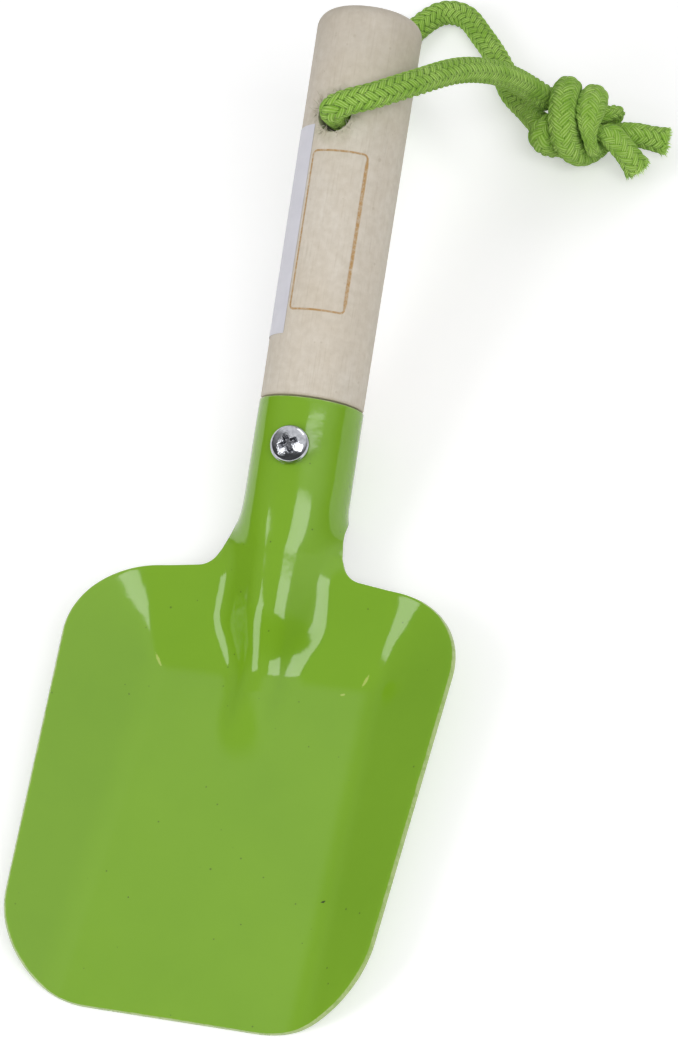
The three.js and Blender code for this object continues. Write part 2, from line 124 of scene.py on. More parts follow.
def clear_selection() -> None:
    """Leave edit mode and deselect every object."""
    if bpy.context.object and bpy.context.object.mode != "OBJECT":
        bpy.ops.object.mode_set(mode="OBJECT")
    bpy.ops.object.select_all(action="DESELECT")


def take(name: str) -> Piece:
    """Name the object that an operator has just added and return it."""
    made = bpy.context.object
    made.name = name
    made.data.name = name
    return made


def select_only(piece: Piece) -> None:
    """Make one object the selected and active one."""
    clear_selection()
    piece.select_set(True)
    bpy.context.view_layer.objects.active = piece


def apply_all(piece: Piece) -> None:
    """Apply every modifier of a piece in its order."""
    select_only(piece)
    for modifier in list(piece.modifiers):
        bpy.ops.object.modifier_apply(modifier=modifier.name)


def settle(piece: Piece, place: Matrix) -> None:
    """Put a piece in its place and move that place into its mesh."""
    select_only(piece)
    piece.matrix_world = place
    bpy.ops.object.transform_apply(location=True, rotation=True, scale=True)


def face_out(piece: Piece) -> None:
    """Turn every face of a piece outward."""
    select_only(piece)
    bpy.ops.object.mode_set(mode="EDIT")
    bpy.ops.mesh.select_all(action="SELECT")
    bpy.ops.mesh.normals_make_consistent(inside=False)
    bpy.ops.object.mode_set(mode="OBJECT")


def thicken(piece: Piece, thickness: float, even: bool = False) -> None:
    """Plan the thickness of a sheet in millimetres, half of it on each side."""
    solid = piece.modifiers.new("thickness", "SOLIDIFY")
    solid.thickness = thickness * MM
    solid.offset = 0
    solid.use_even_offset = even


def round_edges(piece: Piece, width: float, degrees: float) -> None:
    """Plan round edges in millimetres where faces turn by more than an angle."""
    bevel = piece.modifiers.new("edges", "BEVEL")
    bevel.width = width * MM
    bevel.segments = 2
    bevel.limit_method = "ANGLE"
    bevel.angle_limit = math.radians(degrees)


def write_values(piece: Piece, name: str, values: np.ndarray) -> None:
    """Write one value for each point of a piece to its mesh."""
    layer = piece.data.attributes.new(name, "FLOAT", "POINT")
    layer.data.foreach_set("value", values.astype(np.float32).reshape(-1))


def cut_away(piece: Piece, cutter: Piece) -> None:
    """Cut one piece out of another and remove the cutter."""
    modifier = piece.modifiers.new("cut", "BOOLEAN")
    modifier.operation = "DIFFERENCE"
    modifier.solver = "EXACT"
    modifier.object = cutter
    apply_all(piece)
    bpy.data.objects.remove(cutter)


def turned(name: str, profile: Sequence[Pair], sides: int) -> Piece:
    """Turn a round body from its profile, as on a lathe whose axis is +Z.

    Args:
        name: Name of the piece.
        profile: Radius and place along the axis in millimetres, from one end to the other.
        sides: Number of sides round the axis.

    Returns:
        The turned piece, closed at both ends.
    """
    clear_selection()
    radius, along = profile[0]
    bpy.ops.mesh.primitive_circle_add(
        vertices=sides, radius=radius * MM, fill_type="NGON", location=(0, 0, along * MM)
    )
    piece = take(name)
    bpy.ops.object.transform_apply(location=True, rotation=True, scale=True)
    bpy.ops.object.mode_set(mode="EDIT")
    bpy.ops.mesh.select_all(action="SELECT")
    for next_radius, next_along in profile[1:]:
        bpy.ops.mesh.extrude_region_move(
            TRANSFORM_OT_translate={"value": (0, 0, (next_along - along) * MM)}
        )
        ratio = next_radius / radius
        bpy.ops.transform.resize(value=(ratio, ratio, 1), center_override=(0, 0, next_along * MM))
        radius, along = next_radius, next_along
    face_out(piece)
    return piece


def from_points(
    name: str, places: Sequence[np.ndarray], faces: Sequence[tuple[int, ...]]
) -> Piece:
    """Make a piece of points and the faces between them.

    Args:
        name: Name of the piece.
        places: Points in millimetres.
        faces: Numbers of the points round each face.

    Returns:
        The piece.
    """
    mesh = bpy.data.meshes.new(name)
    mesh.from_pydata([tuple(place * MM) for place in places], [], faces)
    piece = bpy.data.objects.new(name, mesh)
    bpy.context.scene.collection.objects.link(piece)
    return piece


def tuft(
    name: str, roots: np.ndarray, ways: np.ndarray, curls: np.ndarray, thick: float
) -> Piece:
    """Return a tuft of thin pointed fibres.

    Args:
        name: Name of the piece.
        roots: Point that each fibre starts from.
        ways: Way and length of each fibre.
        curls: How far each fibre bends aside at its point.
        thick: Radius of a fibre at its root.

    Returns:
        The tuft, each fibre closed.
    """
    vertices, faces = [], []
    askew = [0.31, 0.52, 0.79]
    rings = ((0.0, 1.0), (0.55, 0.75))
    for root, way, curl in zip(roots, ways, curls):
        side = np.cross(way, askew)
        side /= np.linalg.norm(side)
        other = np.cross(way, side) / np.linalg.norm(way)
        first = len(vertices)
        for share, size in rings:
            middle = root + way * share + curl * share**2
            for turn in np.arange(3) * 2 * math.pi / 3:
                out = side * math.cos(turn) + other * math.sin(turn)
                vertices.append(middle + out * thick * size)
        vertices.append(root + way + curl)
        faces.append((first + 2, first + 1, first))
        for i in range(3):
            k = (i + 1) % 3
            faces.append((first + i, first + k, first + 3 + k, first + 3 + i))
            faces.append((first + 3 + i, first + 3 + k, first + 6))
    piece = from_points(name, vertices, faces)
    face_out(piece)
    return piece


def soften(piece: Piece, degrees: float) -> None:
    """Shade a piece smooth, with edges kept where faces turn by more than an angle."""
    select_only(piece)
    bpy.ops.object.shade_smooth_by_angle(angle=math.radians(degrees))


def fit(piece: Piece, material: bpy.types.Material, slot: Slot | None, *nodes: str) -> None:
    """Give a piece its finish, hide the solids that it stands for, and fix it to the tool.

    Args:
        piece: The finished piece.
        material: Its finish.
        slot: Not used.
        nodes: Names of the solids that it stands for.
    """
    piece.data.materials.clear()
    piece.data.materials.append(material)
    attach(piece, BODY)
    if nodes:
        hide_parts(*nodes)
    LOG.info("%s: %d faces", piece.name, len(piece.data.polygons))


# Shader workshop


class Nodes:
    """A node tree with short ways to add and join nodes."""

    def __init__(self, tree: bpy.types.NodeTree) -> None:
        """Take an empty or cleared tree."""
        self.tree = tree

    def add(self, kind: str, **settings: Any) -> bpy.types.Node:
        """Add a node of a kind and set its properties."""
        node = self.tree.nodes.new(kind)
        for key, value in settings.items():
            setattr(node, key, value)
        return node

    def put(self, socket: Socket, value: Any) -> None:
        """Join a socket to an input, or set the input's value."""
        if isinstance(value, Socket):
            self.tree.links.new(value, socket)
        else:
            socket.default_value = value

    def math(self, operation: str, *values: Any, limit: bool = False) -> Socket:
        """Return the result of a sum on sockets and numbers."""
        node = self.add("ShaderNodeMath", operation=operation, use_clamp=limit)
        for socket, value in zip(node.inputs, values):
            self.put(socket, value)
        return node.outputs[0]

    def place(self) -> Socket:
        """Return the place on the piece in the tool's frame."""
        return self.add("ShaderNodeTexCoord").outputs["Object"]

    def value(self, name: str) -> Socket:
        """Return a value that the mesh holds for each point."""
        return self.add("ShaderNodeAttribute", attribute_name=name).outputs["Fac"]

    def split(self, vector: Any) -> Sequence[Socket]:
        """Return the three parts of a vector."""
        node = self.add("ShaderNodeSeparateXYZ")
        self.put(node.inputs[0], vector)
        return node.outputs

    def away(self, vector: Any, centre: Any = (0.0, 0.0, 0.0)) -> Socket:
        """Return the distance of a vector from a centre."""
        node = self.add("ShaderNodeVectorMath", operation="DISTANCE")
        self.put(node.inputs[0], vector)
        self.put(node.inputs[1], centre)
        return node.outputs["Value"]

    def span(
        self, value: Any, low: Any, high: Any, to_low: float = 0.0, to_high: float = 1.0
    ) -> Socket:
        """Return a value carried smoothly from one range to another."""
        node = self.add("ShaderNodeMapRange", interpolation_type="SMOOTHSTEP")
        for socket, part in zip(node.inputs, (value, low, high, to_low, to_high)):
            self.put(socket, part)
        return node.outputs[0]

    def blend(self, share: Any, first: Any, second: Any, kind: str = "MIX") -> Socket:
        """Return a mix of two colours."""
        node = self.add("ShaderNodeMix", data_type="RGBA", blend_type=kind)
        self.put(node.inputs[0], share)
        self.put(node.inputs[6], first)
        self.put(node.inputs[7], second)
        return node.outputs[2]

    def noise(
        self, vector: Any, scale: Any, detail: float = 2.0, rough: float = 0.5
    ) -> Socket:
        """Return a noise value over a vector."""
        node = self.add("ShaderNodeTexNoise")
        self.fill(node, vector=vector, scale=scale, detail=detail, roughness=rough)
        return node.outputs[0]

    def mapped(
        self, vector: Any, place: Any, turn: Any, size: Any, kind: str = "POINT"
    ) -> Socket:
        """Return a vector scaled, turned and moved, or for the kind TEXTURE the same undone."""
        node = self.add("ShaderNodeMapping", vector_type=kind)
        self.fill(node, vector=vector, location=place, rotation=turn, scale=size)
        return node.outputs[0]

    def bump(
        self, height: Any, distance: float, strength: float = 1.0, normal: Any = None
    ) -> Socket:
        """Return a normal roughened by a height."""
        node = self.add("ShaderNodeBump")
        self.fill(node, height=height, distance=distance, strength=strength)
        if normal is not None:
            self.fill(node, normal=normal)
        return node.outputs[0]

    def fill(self, node: bpy.types.Node, **values: Any) -> None:
        """Join or set inputs of a node by their names in small letters."""
        inputs = {socket.name.lower().replace(" ", "_"): socket for socket in node.inputs}
        for key, value in values.items():
            self.put(inputs[key], value)

    def group(self, tree: bpy.types.NodeTree, **values: Any) -> Socket:
        """Place a shared group and return its one output."""
        node = self.add("ShaderNodeGroup", node_tree=tree)
        self.fill(node, **values)
        return node.outputs[0]


def cleared(owner: bpy.types.Material | bpy.types.World) -> Nodes:
    """Return the emptied nodes of a material or a world."""
    owner.use_nodes = True
    owner.node_tree.nodes.clear()
    return Nodes(owner.node_tree)


def new_group(name: str, output: str, *values: str) -> tuple[Nodes, Any, Socket]:
    """Start a shared shader group that takes a vector and some values.

    Args:
        name: Name of the group.
        output: Name of its one value output.
        values: Names of the values that it takes.

    Returns:
        The group's nodes, what it is given, and the socket that takes its result.
    """
    tree = bpy.data.node_groups.new(name, "ShaderNodeTree")
    tree.interface.new_socket(name="Vector", in_out="INPUT", socket_type="NodeSocketVector")
    for label in values:
        tree.interface.new_socket(name=label, in_out="INPUT", socket_type="NodeSocketFloat")
    tree.interface.new_socket(name=output, in_out="OUTPUT", socket_type="NodeSocketFloat")
    nodes = Nodes(tree)
    given = nodes.add("NodeGroupInput").outputs
    return nodes, given, nodes.add("NodeGroupOutput").inputs[0]


class Effects:
    """Shared effects: specks of dirt, soft mottling, and a patchy edge for a worn rim with a
    painted highlight.
    """

    least_speck: float = 0.35
    speck_core: float = 0.5
    mottle_detail: float = 4.0
    mottle_rough: float = 0.6
    wear_detail: float = 5.0
    wear_rough: float = 0.65
    wear_range: Pair = (1.0, 1.35)

    def __init__(self) -> None:
        """Build each group once."""
        self.specks = self._specks()
        self.mottle = self._mottle()
        self.worn_edge = self._worn_edge()

    def _specks(self) -> bpy.types.NodeTree:
        """Return a group that puts out small scattered specks as a mask."""
        nodes, given, out = new_group("specks", "Mask", "Scale", "Size", "Share")
        cells = nodes.add("ShaderNodeTexVoronoi")
        nodes.fill(cells, vector=given["Vector"], scale=given["Scale"])
        parts = nodes.add("ShaderNodeSeparateColor")
        nodes.put(parts.inputs[0], cells.outputs["Color"])
        chosen = nodes.math("LESS_THAN", parts.outputs[0], given["Share"])
        larger = nodes.math("ADD", parts.outputs[1], self.least_speck)
        wanted = nodes.math("MULTIPLY", given["Size"], larger)
        core = nodes.math("MULTIPLY", wanted, self.speck_core)
        inside = nodes.span(cells.outputs["Distance"], wanted, core)
        nodes.put(out, nodes.math("MULTIPLY", chosen, inside))
        return nodes.tree

    def _mottle(self) -> bpy.types.NodeTree:
        """Return a group that puts out a soft cloudy value from 0 to 1."""
        nodes, given, out = new_group("mottle", "Value", "Scale", "Contrast")
        cloud = nodes.noise(given["Vector"], given["Scale"], self.mottle_detail, self.mottle_rough)
        centred = nodes.math("SUBTRACT", cloud, 0.5)
        nodes.put(out, nodes.math("MULTIPLY_ADD", centred, given["Contrast"], 0.5, limit=True))
        return nodes.tree

    def _worn_edge(self) -> bpy.types.NodeTree:
        """Return a group that makes an edge value patchy, for a worn rim with a painted highlight.
        """
        nodes, given, out = new_group("worn edge", "Mask", "Edge", "Scale", "Reach")
        uneven = nodes.noise(given["Vector"], given["Scale"], self.wear_detail, self.wear_rough)
        level = nodes.math("MULTIPLY_ADD", uneven, given["Reach"], given["Edge"])
        nodes.put(out, nodes.span(level, *self.wear_range))
        return nodes.tree


def new_material(name: str) -> tuple[bpy.types.Material, Nodes, bpy.types.Node]:
    """Start a material with one Principled shader.

    Args:
        name: Name of the finish.

    Returns:
        The material, its nodes and its shader.
    """
    material = bpy.data.materials.new(name)
    nodes = cleared(material)
    shader = nodes.add("ShaderNodeBsdfPrincipled")
    output = nodes.add("ShaderNodeOutputMaterial")
    nodes.put(output.inputs["Surface"], shader.outputs[0])
    return material, nodes, shader


# Common sizes of the tool


@dataclass(frozen=True)
class Tool:
    """Sizes that several pieces share, and the frames that follow from them."""

    tilt: float = math.radians(21)
    sheet: float = 1.0
    socket_outer: float = 11.1
    socket_length: float = 19.0
    socket_reach: float = 132.8
    handle_length: float = 86.0
    handle_radius_at_socket: float = 10.95
    handle_radius_at_end: float = 11.3
    handle_end_round: float = 3.6
    screw_station: float = 10.4
    hole_station: float = 61.2
    hole_turn: float = math.radians(-10)
    clearance: float = 0.3

    @property
    def socket_mid(self) -> float:
        """Radius of the middle of the socket's sheet."""
        return self.socket_outer - self.sheet / 2

    @property
    def socket_height(self) -> float:
        """Height of the middle of the socket's mouth over the table."""
        return self.socket_outer * math.cos(self.tilt) + self.socket_length * math.sin(self.tilt)

    @property
    def middle_reach(self) -> float:
        """Half of the tool's length, which lies over the origin."""
        straight = self.handle_length - self.handle_end_round
        across = self.handle_radius_at_end - self.handle_end_round
        total = self.socket_reach + self.handle_end_round
        total += straight * math.cos(self.tilt) + across * math.sin(self.tilt)
        return total / 2

    def handle_frame(self) -> Matrix:
        """Return the frame at the socket's mouth: +Y along the handle, +Z out of its front."""
        mouth = Vector((0, self.socket_reach - self.middle_reach, self.socket_height)) * MM
        return Matrix.Translation(mouth) @ Matrix.Rotation(self.tilt, 4, "X")

    def screw_frame(self) -> Matrix:
        """Return the frame at the screw: its axis is +Z, from the middle of the socket."""
        return self.handle_frame() @ Matrix.Translation((0, -self.screw_station * MM, 0))

    def handle_radius(self, station: float) -> float:
        """Return the handle's radius at a station above the socket's mouth."""
        share = clamp(station / self.handle_length)
        return mix(self.handle_radius_at_socket, self.handle_radius_at_end, share)


TOOL = Tool()


# Finishes


@dataclass(frozen=True)
class Cloud:
    """A soft cloudiness: its scale and its contrast."""

    scale: float
    contrast: float

    def value(self, nodes: Nodes, effects: Effects, place: Socket) -> Socket:
        """Return the cloudiness at a place, from 0 to 1."""
        return nodes.group(effects.mottle, vector=place, scale=self.scale, contrast=self.contrast)


@dataclass(frozen=True)
class Specks:
    """Scattered specks: their scale, size, the share of cells that have one, and their strength."""

    scale: float
    size: float
    share: float
    strength: float = 1.0

    def mask(self, nodes: Nodes, effects: Effects, place: Socket) -> Socket:
        """Return the mask of the specks at a place."""
        found = nodes.group(
            effects.specks, vector=place, scale=self.scale, size=self.size, share=self.share
        )
        return nodes.math("MULTIPLY", found, self.strength)


@dataclass(frozen=True)
class Grain:
    """A noise: its scale, its detail and its roughness."""

    scale: float
    detail: float
    rough: float

    def value(self, nodes: Nodes, place: Socket) -> Socket:
        """Return the noise at a place."""
        return nodes.noise(place, self.scale, self.detail, self.rough)


@dataclass(frozen=True)
class Mark:
    """A small mark on the enamel: its place and size on the sheet in millimetres, and its turn."""

    place: Triple
    size: Pair
    turn: float
    dirty: bool = False
    depth: float = 1.0
    grain: Grain = Grain(1500.0, 3.0, 0.7)
    raggedness: float = 1.2
    edge: Pair = (1.55, 1.15)

    def mask(self, nodes: Nodes, place: Socket) -> Socket:
        """Return the mark's mask, ragged at its edge."""
        half = tuple(v / 2 * MM for v in (*self.size, 2 * self.depth))
        middle = tuple(v * MM for v in self.place)
        away = nodes.away(nodes.mapped(place, middle, (0, 0, self.turn), half, "TEXTURE"))
        ragged = nodes.math("MULTIPLY_ADD", self.grain.value(nodes, place), self.raggedness, away)
        return nodes.span(ragged, *self.edge)


@dataclass(frozen=True)
class Enamel:
    """Glossy green stove enamel with dirt specks, pale streaks, a dark mark, and a worn rim with a
    painted highlight on its cut edge.
    """

    effects: Effects
    green: Colour = linear(126, 172, 36)
    deep: Colour = linear(119, 165, 32)
    pale_streak: Colour = linear(172, 196, 92)
    dirt: Colour = linear(52, 66, 28)
    # Pale rim colour: wear, and a painted highlight where the sheet's cut edge catches the light.
    worn_lit_rim: Colour = linear(176, 196, 128)
    # Pale streaks at the heel's corners, and one dark mark on the floor.
    marks: tuple[Mark, ...] = (
        Mark((-22.9, -30.7, 1.5), (4.2, 0.7), math.radians(-57)),
        Mark((21.7, -29.8, 1.6), (3.6, 0.7), math.radians(69)),
        Mark((17.6, -33.2, 1.1), (1.2, 0.6), math.radians(20)),
        Mark((24.4, -79.2, 1.3), (1.3, 0.55), math.radians(20), dirty=True),
    )
    cloud: Cloud = Cloud(34.0, 1.6)
    specks: tuple[Specks, ...] = (Specks(330.0, 0.1, 0.035), Specks(900.0, 0.2, 0.03, 0.55))
    wear_scale: float = 420.0
    wear_reach: float = 0.5
    roughness: float = 0.09
    wear_roughness: float = 0.25
    refraction: float = 1.5
    peel: Grain = Grain(420.0, 2.0, 0.5)
    peel_depth: float = 0.04
    wave: Grain = Grain(58.0, 1.5, 0.4)
    wave_depth: float = 1.6
    wave_stations: Pair = (-42.0, -15.0)
    wave_on_floor: float = 0.12
    relief: float = 0.5

    def material(self) -> bpy.types.Material:
        """Return the finish of the blade and socket."""
        material, nodes, shader = new_material("green_enamel")
        place = nodes.place()
        colour = nodes.blend(self.cloud.value(nodes, self.effects, place), self.green, self.deep)
        for mark in self.marks:
            # Each mark lays a pale streak or a dark mark over the enamel colour.
            stain = self.dirt if mark.dirty else self.pale_streak
            colour = nodes.blend(mark.mask(nodes, place), colour, stain)
        for specks in self.specks:
            colour = nodes.blend(specks.mask(nodes, self.effects, place), colour, self.dirt)
        # Patchy pale rim: partly wear, partly a painted highlight on the cut edge; the roughness
        # rises with the wear.
        worn = nodes.group(
            self.effects.worn_edge, vector=place, edge=nodes.value("rim"),
            scale=self.wear_scale, reach=self.wear_reach,
        )
        colour = nodes.blend(worn, colour, self.worn_lit_rim)
        rough = nodes.math("MULTIPLY_ADD", worn, self.wear_roughness, self.roughness)
        low, high = (station * MM for station in self.wave_stations)
        drawn = nodes.span(nodes.split(place)[1], low, high, self.wave_on_floor, 1.0)
        wavy = nodes.math("MULTIPLY", self.wave.value(nodes, place), drawn)
        normal = nodes.bump(wavy, self.wave_depth * MM, self.relief)
        peel = self.peel.value(nodes, place)
        normal = nodes.bump(peel, self.peel_depth * MM, self.relief, normal)
        nodes.fill(shader, base_color=colour, roughness=rough, ior=self.refraction, normal=normal)
        return material


@dataclass(frozen=True)
class Beech:
    """Bare pale wood with fine flecks along the grain, a burned frame, and painted shade at its
    foot by the socket.
    """

    effects: Effects
    pale: Colour = linear(221, 215, 205)
    warm: Colour = linear(209, 198, 181)
    fleck: Colour = linear(176, 162, 140)
    grey: Colour = linear(170, 160, 143)
    burn: Colour = linear(178, 140, 88)
    smudge: Colour = linear(138, 142, 104)
    cloud: Cloud = Cloud(70.0, 1.5)
    stripes: Cloud = Cloud(900.0, 2.4)
    stripe_stretch: float = 0.07
    stripe_strength: float = 0.35
    rays: Grain = Grain(2400.0, 3.0, 0.65)
    ray_stretch: float = 0.05
    ray_range: Pair = (0.5, 0.78)
    ray_strength: float = 0.3
    nap: Cloud = Cloud(620.0, 3.2)
    nap_strength: float = 0.26
    stain: Grain = Grain(120.0, 3.0, 0.6)
    stain_stations: Pair = (60.0, 88.0)
    stain_strength: float = 0.75
    fuzz: Specks = Specks(700.0, 0.3, 0.1, 0.35)
    smears: Grain = Grain(420.0, 4.0, 0.7)
    smear_range: Pair = (0.25, 0.65)
    smear_strength: float = 0.32
    smear_reach: Pair = (11.0, 4.0)
    hole_mouth: Triple = (-2.0, TOOL.hole_station, 11.0)
    char: Grain = Grain(1300.0, 3.0, 0.7)
    char_range: Pair = (0.3, 0.62)
    char_least: float = 0.45
    # Painted shade on the handle's foot, where it meets the socket's mouth.
    joint_shade_stations: Pair = (1.2, 0.3)
    joint_shade_strength: float = 0.6
    roughness: float = 0.6
    stripe_roughness: float = 0.12
    refraction: float = 1.45
    burn_depth: float = 1.4
    relief_depth: float = 0.1
    relief: float = 0.4
    frame_middle: Pair = (0.66, 35.9)
    frame_half: Pair = (6.15, 17.2)
    frame_corner: float = 1.0
    frame_line: float = 0.3
    heavy_line: float = 0.24
    heavy_across: Pair = (4.0, 5.5)
    heavy_along: Pair = (0.4, -1.6)
    frame_core: float = 0.45

    def material(self) -> bpy.types.Material:
        """Return the finish of the handle."""
        material, nodes, shader = new_material("bare_beech")
        local = self._handle_place(nodes)
        parts = nodes.split(local)
        along = parts[1]
        drawn_out = self._drawn_out(nodes, local, self.stripe_stretch)
        stripes = self.stripes.value(nodes, self.effects, drawn_out)
        rays = self.rays.value(nodes, self._drawn_out(nodes, local, self.ray_stretch))
        nap = self.nap.value(nodes, self.effects, local)
        upper = nodes.span(along, *(station * MM for station in self.stain_stations))
        stain = nodes.math("MULTIPLY", upper, self.stain.value(nodes, local))
        near = self._near_hole(nodes, local)
        smear = nodes.math("MULTIPLY", near, self.smears.value(nodes, local))
        burned = self._frame(nodes, parts)
        patchy = nodes.span(self.char.value(nodes, local), *self.char_range, self.char_least, 1.0)
        # Painted shade on the handle's foot next to the socket.
        joint_shade = nodes.span(along, *(station * MM for station in self.joint_shade_stations))
        colour = nodes.blend(self.cloud.value(nodes, self.effects, local), self.pale, self.warm)
        for share, stain_colour in (
            (nodes.math("MULTIPLY", stripes, self.stripe_strength), self.warm),
            (nodes.span(rays, *self.ray_range, 0.0, self.ray_strength), self.fleck),
            (nodes.math("MULTIPLY", nap, self.nap_strength), self.fleck),
            (nodes.math("MULTIPLY", stain, self.stain_strength), self.grey),
            (self.fuzz.mask(nodes, self.effects, local), self.fleck),
            (nodes.span(smear, *self.smear_range, 0.0, self.smear_strength), self.smudge),
            (nodes.math("MULTIPLY", burned, patchy), self.burn),
            (nodes.math("MULTIPLY", joint_shade, self.joint_shade_strength), self.fleck),
        ):
            colour = nodes.blend(share, colour, stain_colour)
        rough = nodes.math("MULTIPLY_ADD", stripes, self.stripe_roughness, self.roughness)
        height = nodes.math("SUBTRACT", stripes, nodes.math("MULTIPLY", burned, self.burn_depth))
        normal = nodes.bump(height, self.relief_depth * MM, self.relief)
        nodes.fill(shader, base_color=colour, roughness=rough, ior=self.refraction, normal=normal)
        return material

    def _handle_place(self, nodes: Nodes) -> Socket:
        """Return the place on the handle in its own frame: across, along and out of its front."""
        back = TOOL.handle_frame().inverted()
        return nodes.mapped(nodes.place(), tuple(back.translation), (-TOOL.tilt, 0, 0), (1, 1, 1))

    def _drawn_out(self, nodes: Nodes, local: Socket, stretch: float) -> Socket:
        """Return the place on the handle drawn out along the grain."""
        return nodes.mapped(local, (0, 0, 0), (0, 0, 0), (1, stretch, 1))

    def _near_hole(self, nodes: Nodes, local: Socket) -> Socket:
        """Return a mask that grows toward the cord's hole."""
        away = nodes.away(local, tuple(v * MM for v in self.hole_mouth))
        return nodes.span(away, *(reach * MM for reach in self.smear_reach))

    def _frame(self, nodes: Nodes, parts: Sequence[Socket]) -> Socket:
        """Return the mask of the burned frame, a rounded rectangle on the handle's front."""
        round_place = nodes.math("ARCTAN2", parts[0], parts[2])
        across = nodes.math("MULTIPLY", round_place, TOOL.handle_radius(self.frame_middle[1]))
        along = nodes.math("MULTIPLY", parts[1], 1 / MM)
        sides = []
        for value, middle, half in zip((across, along), self.frame_middle, self.frame_half):
            away = nodes.math("ABSOLUTE", nodes.math("SUBTRACT", value, middle))
            sides.append(nodes.math("SUBTRACT", away, half - self.frame_corner))
        outside = [nodes.math("POWER", nodes.math("MAXIMUM", side, 0.0), 2.0) for side in sides]
        corner = nodes.math("SQRT", nodes.math("ADD", *outside))
        inner = nodes.math("MINIMUM", nodes.math("MAXIMUM", *sides), 0.0)
        edge = nodes.math("SUBTRACT", nodes.math("ADD", corner, inner), self.frame_corner)
        right = (self.frame_middle[0] + off for off in self.heavy_across)
        heavier = nodes.span(across, *right, 0.0, self.heavy_line)
        heavier = nodes.math("MULTIPLY", heavier, nodes.span(sides[1], *self.heavy_along))
        reach = nodes.math("ADD", heavier, self.frame_line)
        core = nodes.math("MULTIPLY", reach, self.frame_core)
        return nodes.span(nodes.math("ABSOLUTE", edge), reach, core)


@dataclass(frozen=True)
class Zinc:
    """Bright zinc plate with fine scratches, dull spots and painted shade in the recess."""

    effects: Effects
    bright: Colour = linear(214, 216, 222)
    dull: Colour = linear(150, 152, 158)
    # Painted shade in the cross recess.
    recess_shade: Colour = linear(104, 105, 110)
    cloud: Cloud = Cloud(900.0, 2.0)
    recess_shade_range: Pair = (0.15, 0.8)
    recess_shade_strength: float = 0.8
    roughness: float = 0.05
    cloud_roughness: float = 0.1
    wear: Grain = Grain(1500.0, 3.0, 0.6)
    wear_least: float = 0.03
    wear_depth: float = 0.25
    relief: float = 0.8

    def material(self) -> bpy.types.Material:
        """Return the finish of the screw."""
        material, nodes, shader = new_material("bright_zinc")
        place = nodes.place()
        cloud = self.cloud.value(nodes, self.effects, place)
        # Painted shade, darker the deeper the recess lies below the head's dome.
        recess_shade = nodes.span(nodes.value("sunk"), *self.recess_shade_range, 0.0, self.recess_shade_strength)
        colour = nodes.blend(recess_shade, nodes.blend(cloud, self.bright, self.dull), self.recess_shade)
        rough = nodes.math("MULTIPLY_ADD", cloud, self.cloud_roughness, self.roughness)
        worn = nodes.math("ADD", nodes.value("recess"), self.wear_least)
        ragged = nodes.math("MULTIPLY", self.wear.value(nodes, place), worn)
        normal = nodes.bump(ragged, self.wear_depth * MM, self.relief)
        nodes.fill(shader, base_color=colour, metallic=1.0, roughness=rough, normal=normal)
        return material


@dataclass(frozen=True)
class Braid:
    """Dyed braided cotton: plaits of a few yarns each, with painted shade in the gaps between
    plaits and between the yarns.
    """

    effects: Effects
    bright: Colour = linear(208, 240, 136)
    deep: Colour = linear(134, 184, 56)
    # Painted shade for the gaps between plaits.
    gap: Colour = linear(48, 88, 16)
    yarns: float = 3.0
    yarn_slant: float = 0.12
    yarn_height: float = -0.32
    yarn_shade_range: Pair = (0.7, 0.25)
    yarn_shade_strength: float = 0.95
    yarn_depth: float = 0.26
    fibre: Grain = Grain(3.0, 3.0, 0.7)
    fibre_stretch: Triple = (9.0, 1.4, 1.0)
    cloud: Cloud = Cloud(260.0, 1.8)
    gap_shade_range: Pair = (0.62, 0.1)
    roughness: float = 0.92
    shine: float = 0.2
    sheen: float = 0.08
    sheen_roughness: float = 0.5
    relief: float = 0.8

    def material(self) -> bpy.types.Material:
        """Return the finish of the cord."""
        material, nodes, shader = new_material("green_braid")
        weave = nodes.add("ShaderNodeUVMap", uv_map="weave").outputs[0]
        parts = nodes.split(weave)
        slant = nodes.math("MULTIPLY_ADD", parts[1], self.yarn_slant, parts[0])
        wave = nodes.math("COSINE", nodes.math("MULTIPLY", slant, 2 * math.pi * self.yarns))
        drawn_out = nodes.mapped(weave, (0, 0, 0), (0, 0, 0), self.fibre_stretch)
        fibre = self.fibre.value(nodes, drawn_out)
        yarn = nodes.math("MULTIPLY_ADD", wave, self.yarn_height, fibre)
        cloud = self.cloud.value(nodes, self.effects, nodes.place())
        colour = nodes.blend(cloud, self.bright, self.deep)
        # Painted shade in the grooves between yarns.
        between = nodes.span(yarn, *self.yarn_shade_range, 0.0, self.yarn_shade_strength)
        colour = nodes.blend(between, colour, self.deep)
        # Painted shade in the gaps between plaits, where the plait value is low.
        colour = nodes.blend(nodes.span(nodes.value("plait"), *self.gap_shade_range), colour, self.gap)
        nodes.fill(
            shader, base_color=colour, roughness=self.roughness, specular_ior_level=self.shine,
            sheen_weight=self.sheen, sheen_roughness=self.sheen_roughness,
            normal=nodes.bump(yarn, self.yarn_depth * MM, self.relief),
        )
        return material


@dataclass(frozen=True)
class Paper:
    """White coated sticker paper."""

    effects: Effects
    white: Colour = linear(224, 223, 230)
    grey: Colour = linear(208, 207, 216)
    cloud: Cloud = Cloud(160.0, 1.2)
    roughness: float = 0.45
    tooth: Grain = Grain(1400.0, 2.0, 0.5)
    tooth_depth: float = 0.03
    relief: float = 0.4

    def material(self) -> bpy.types.Material:
        """Return the finish of the sticker."""
        material, nodes, shader = new_material("sticker_paper")
        place = nodes.place()
        colour = nodes.blend(self.cloud.value(nodes, self.effects, place), self.white, self.grey)
        normal = nodes.bump(self.tooth.value(nodes, place), self.tooth_depth * MM, self.relief)
        nodes.fill(shader, base_color=colour, roughness=self.roughness, normal=normal)
        return material


# Blade and socket


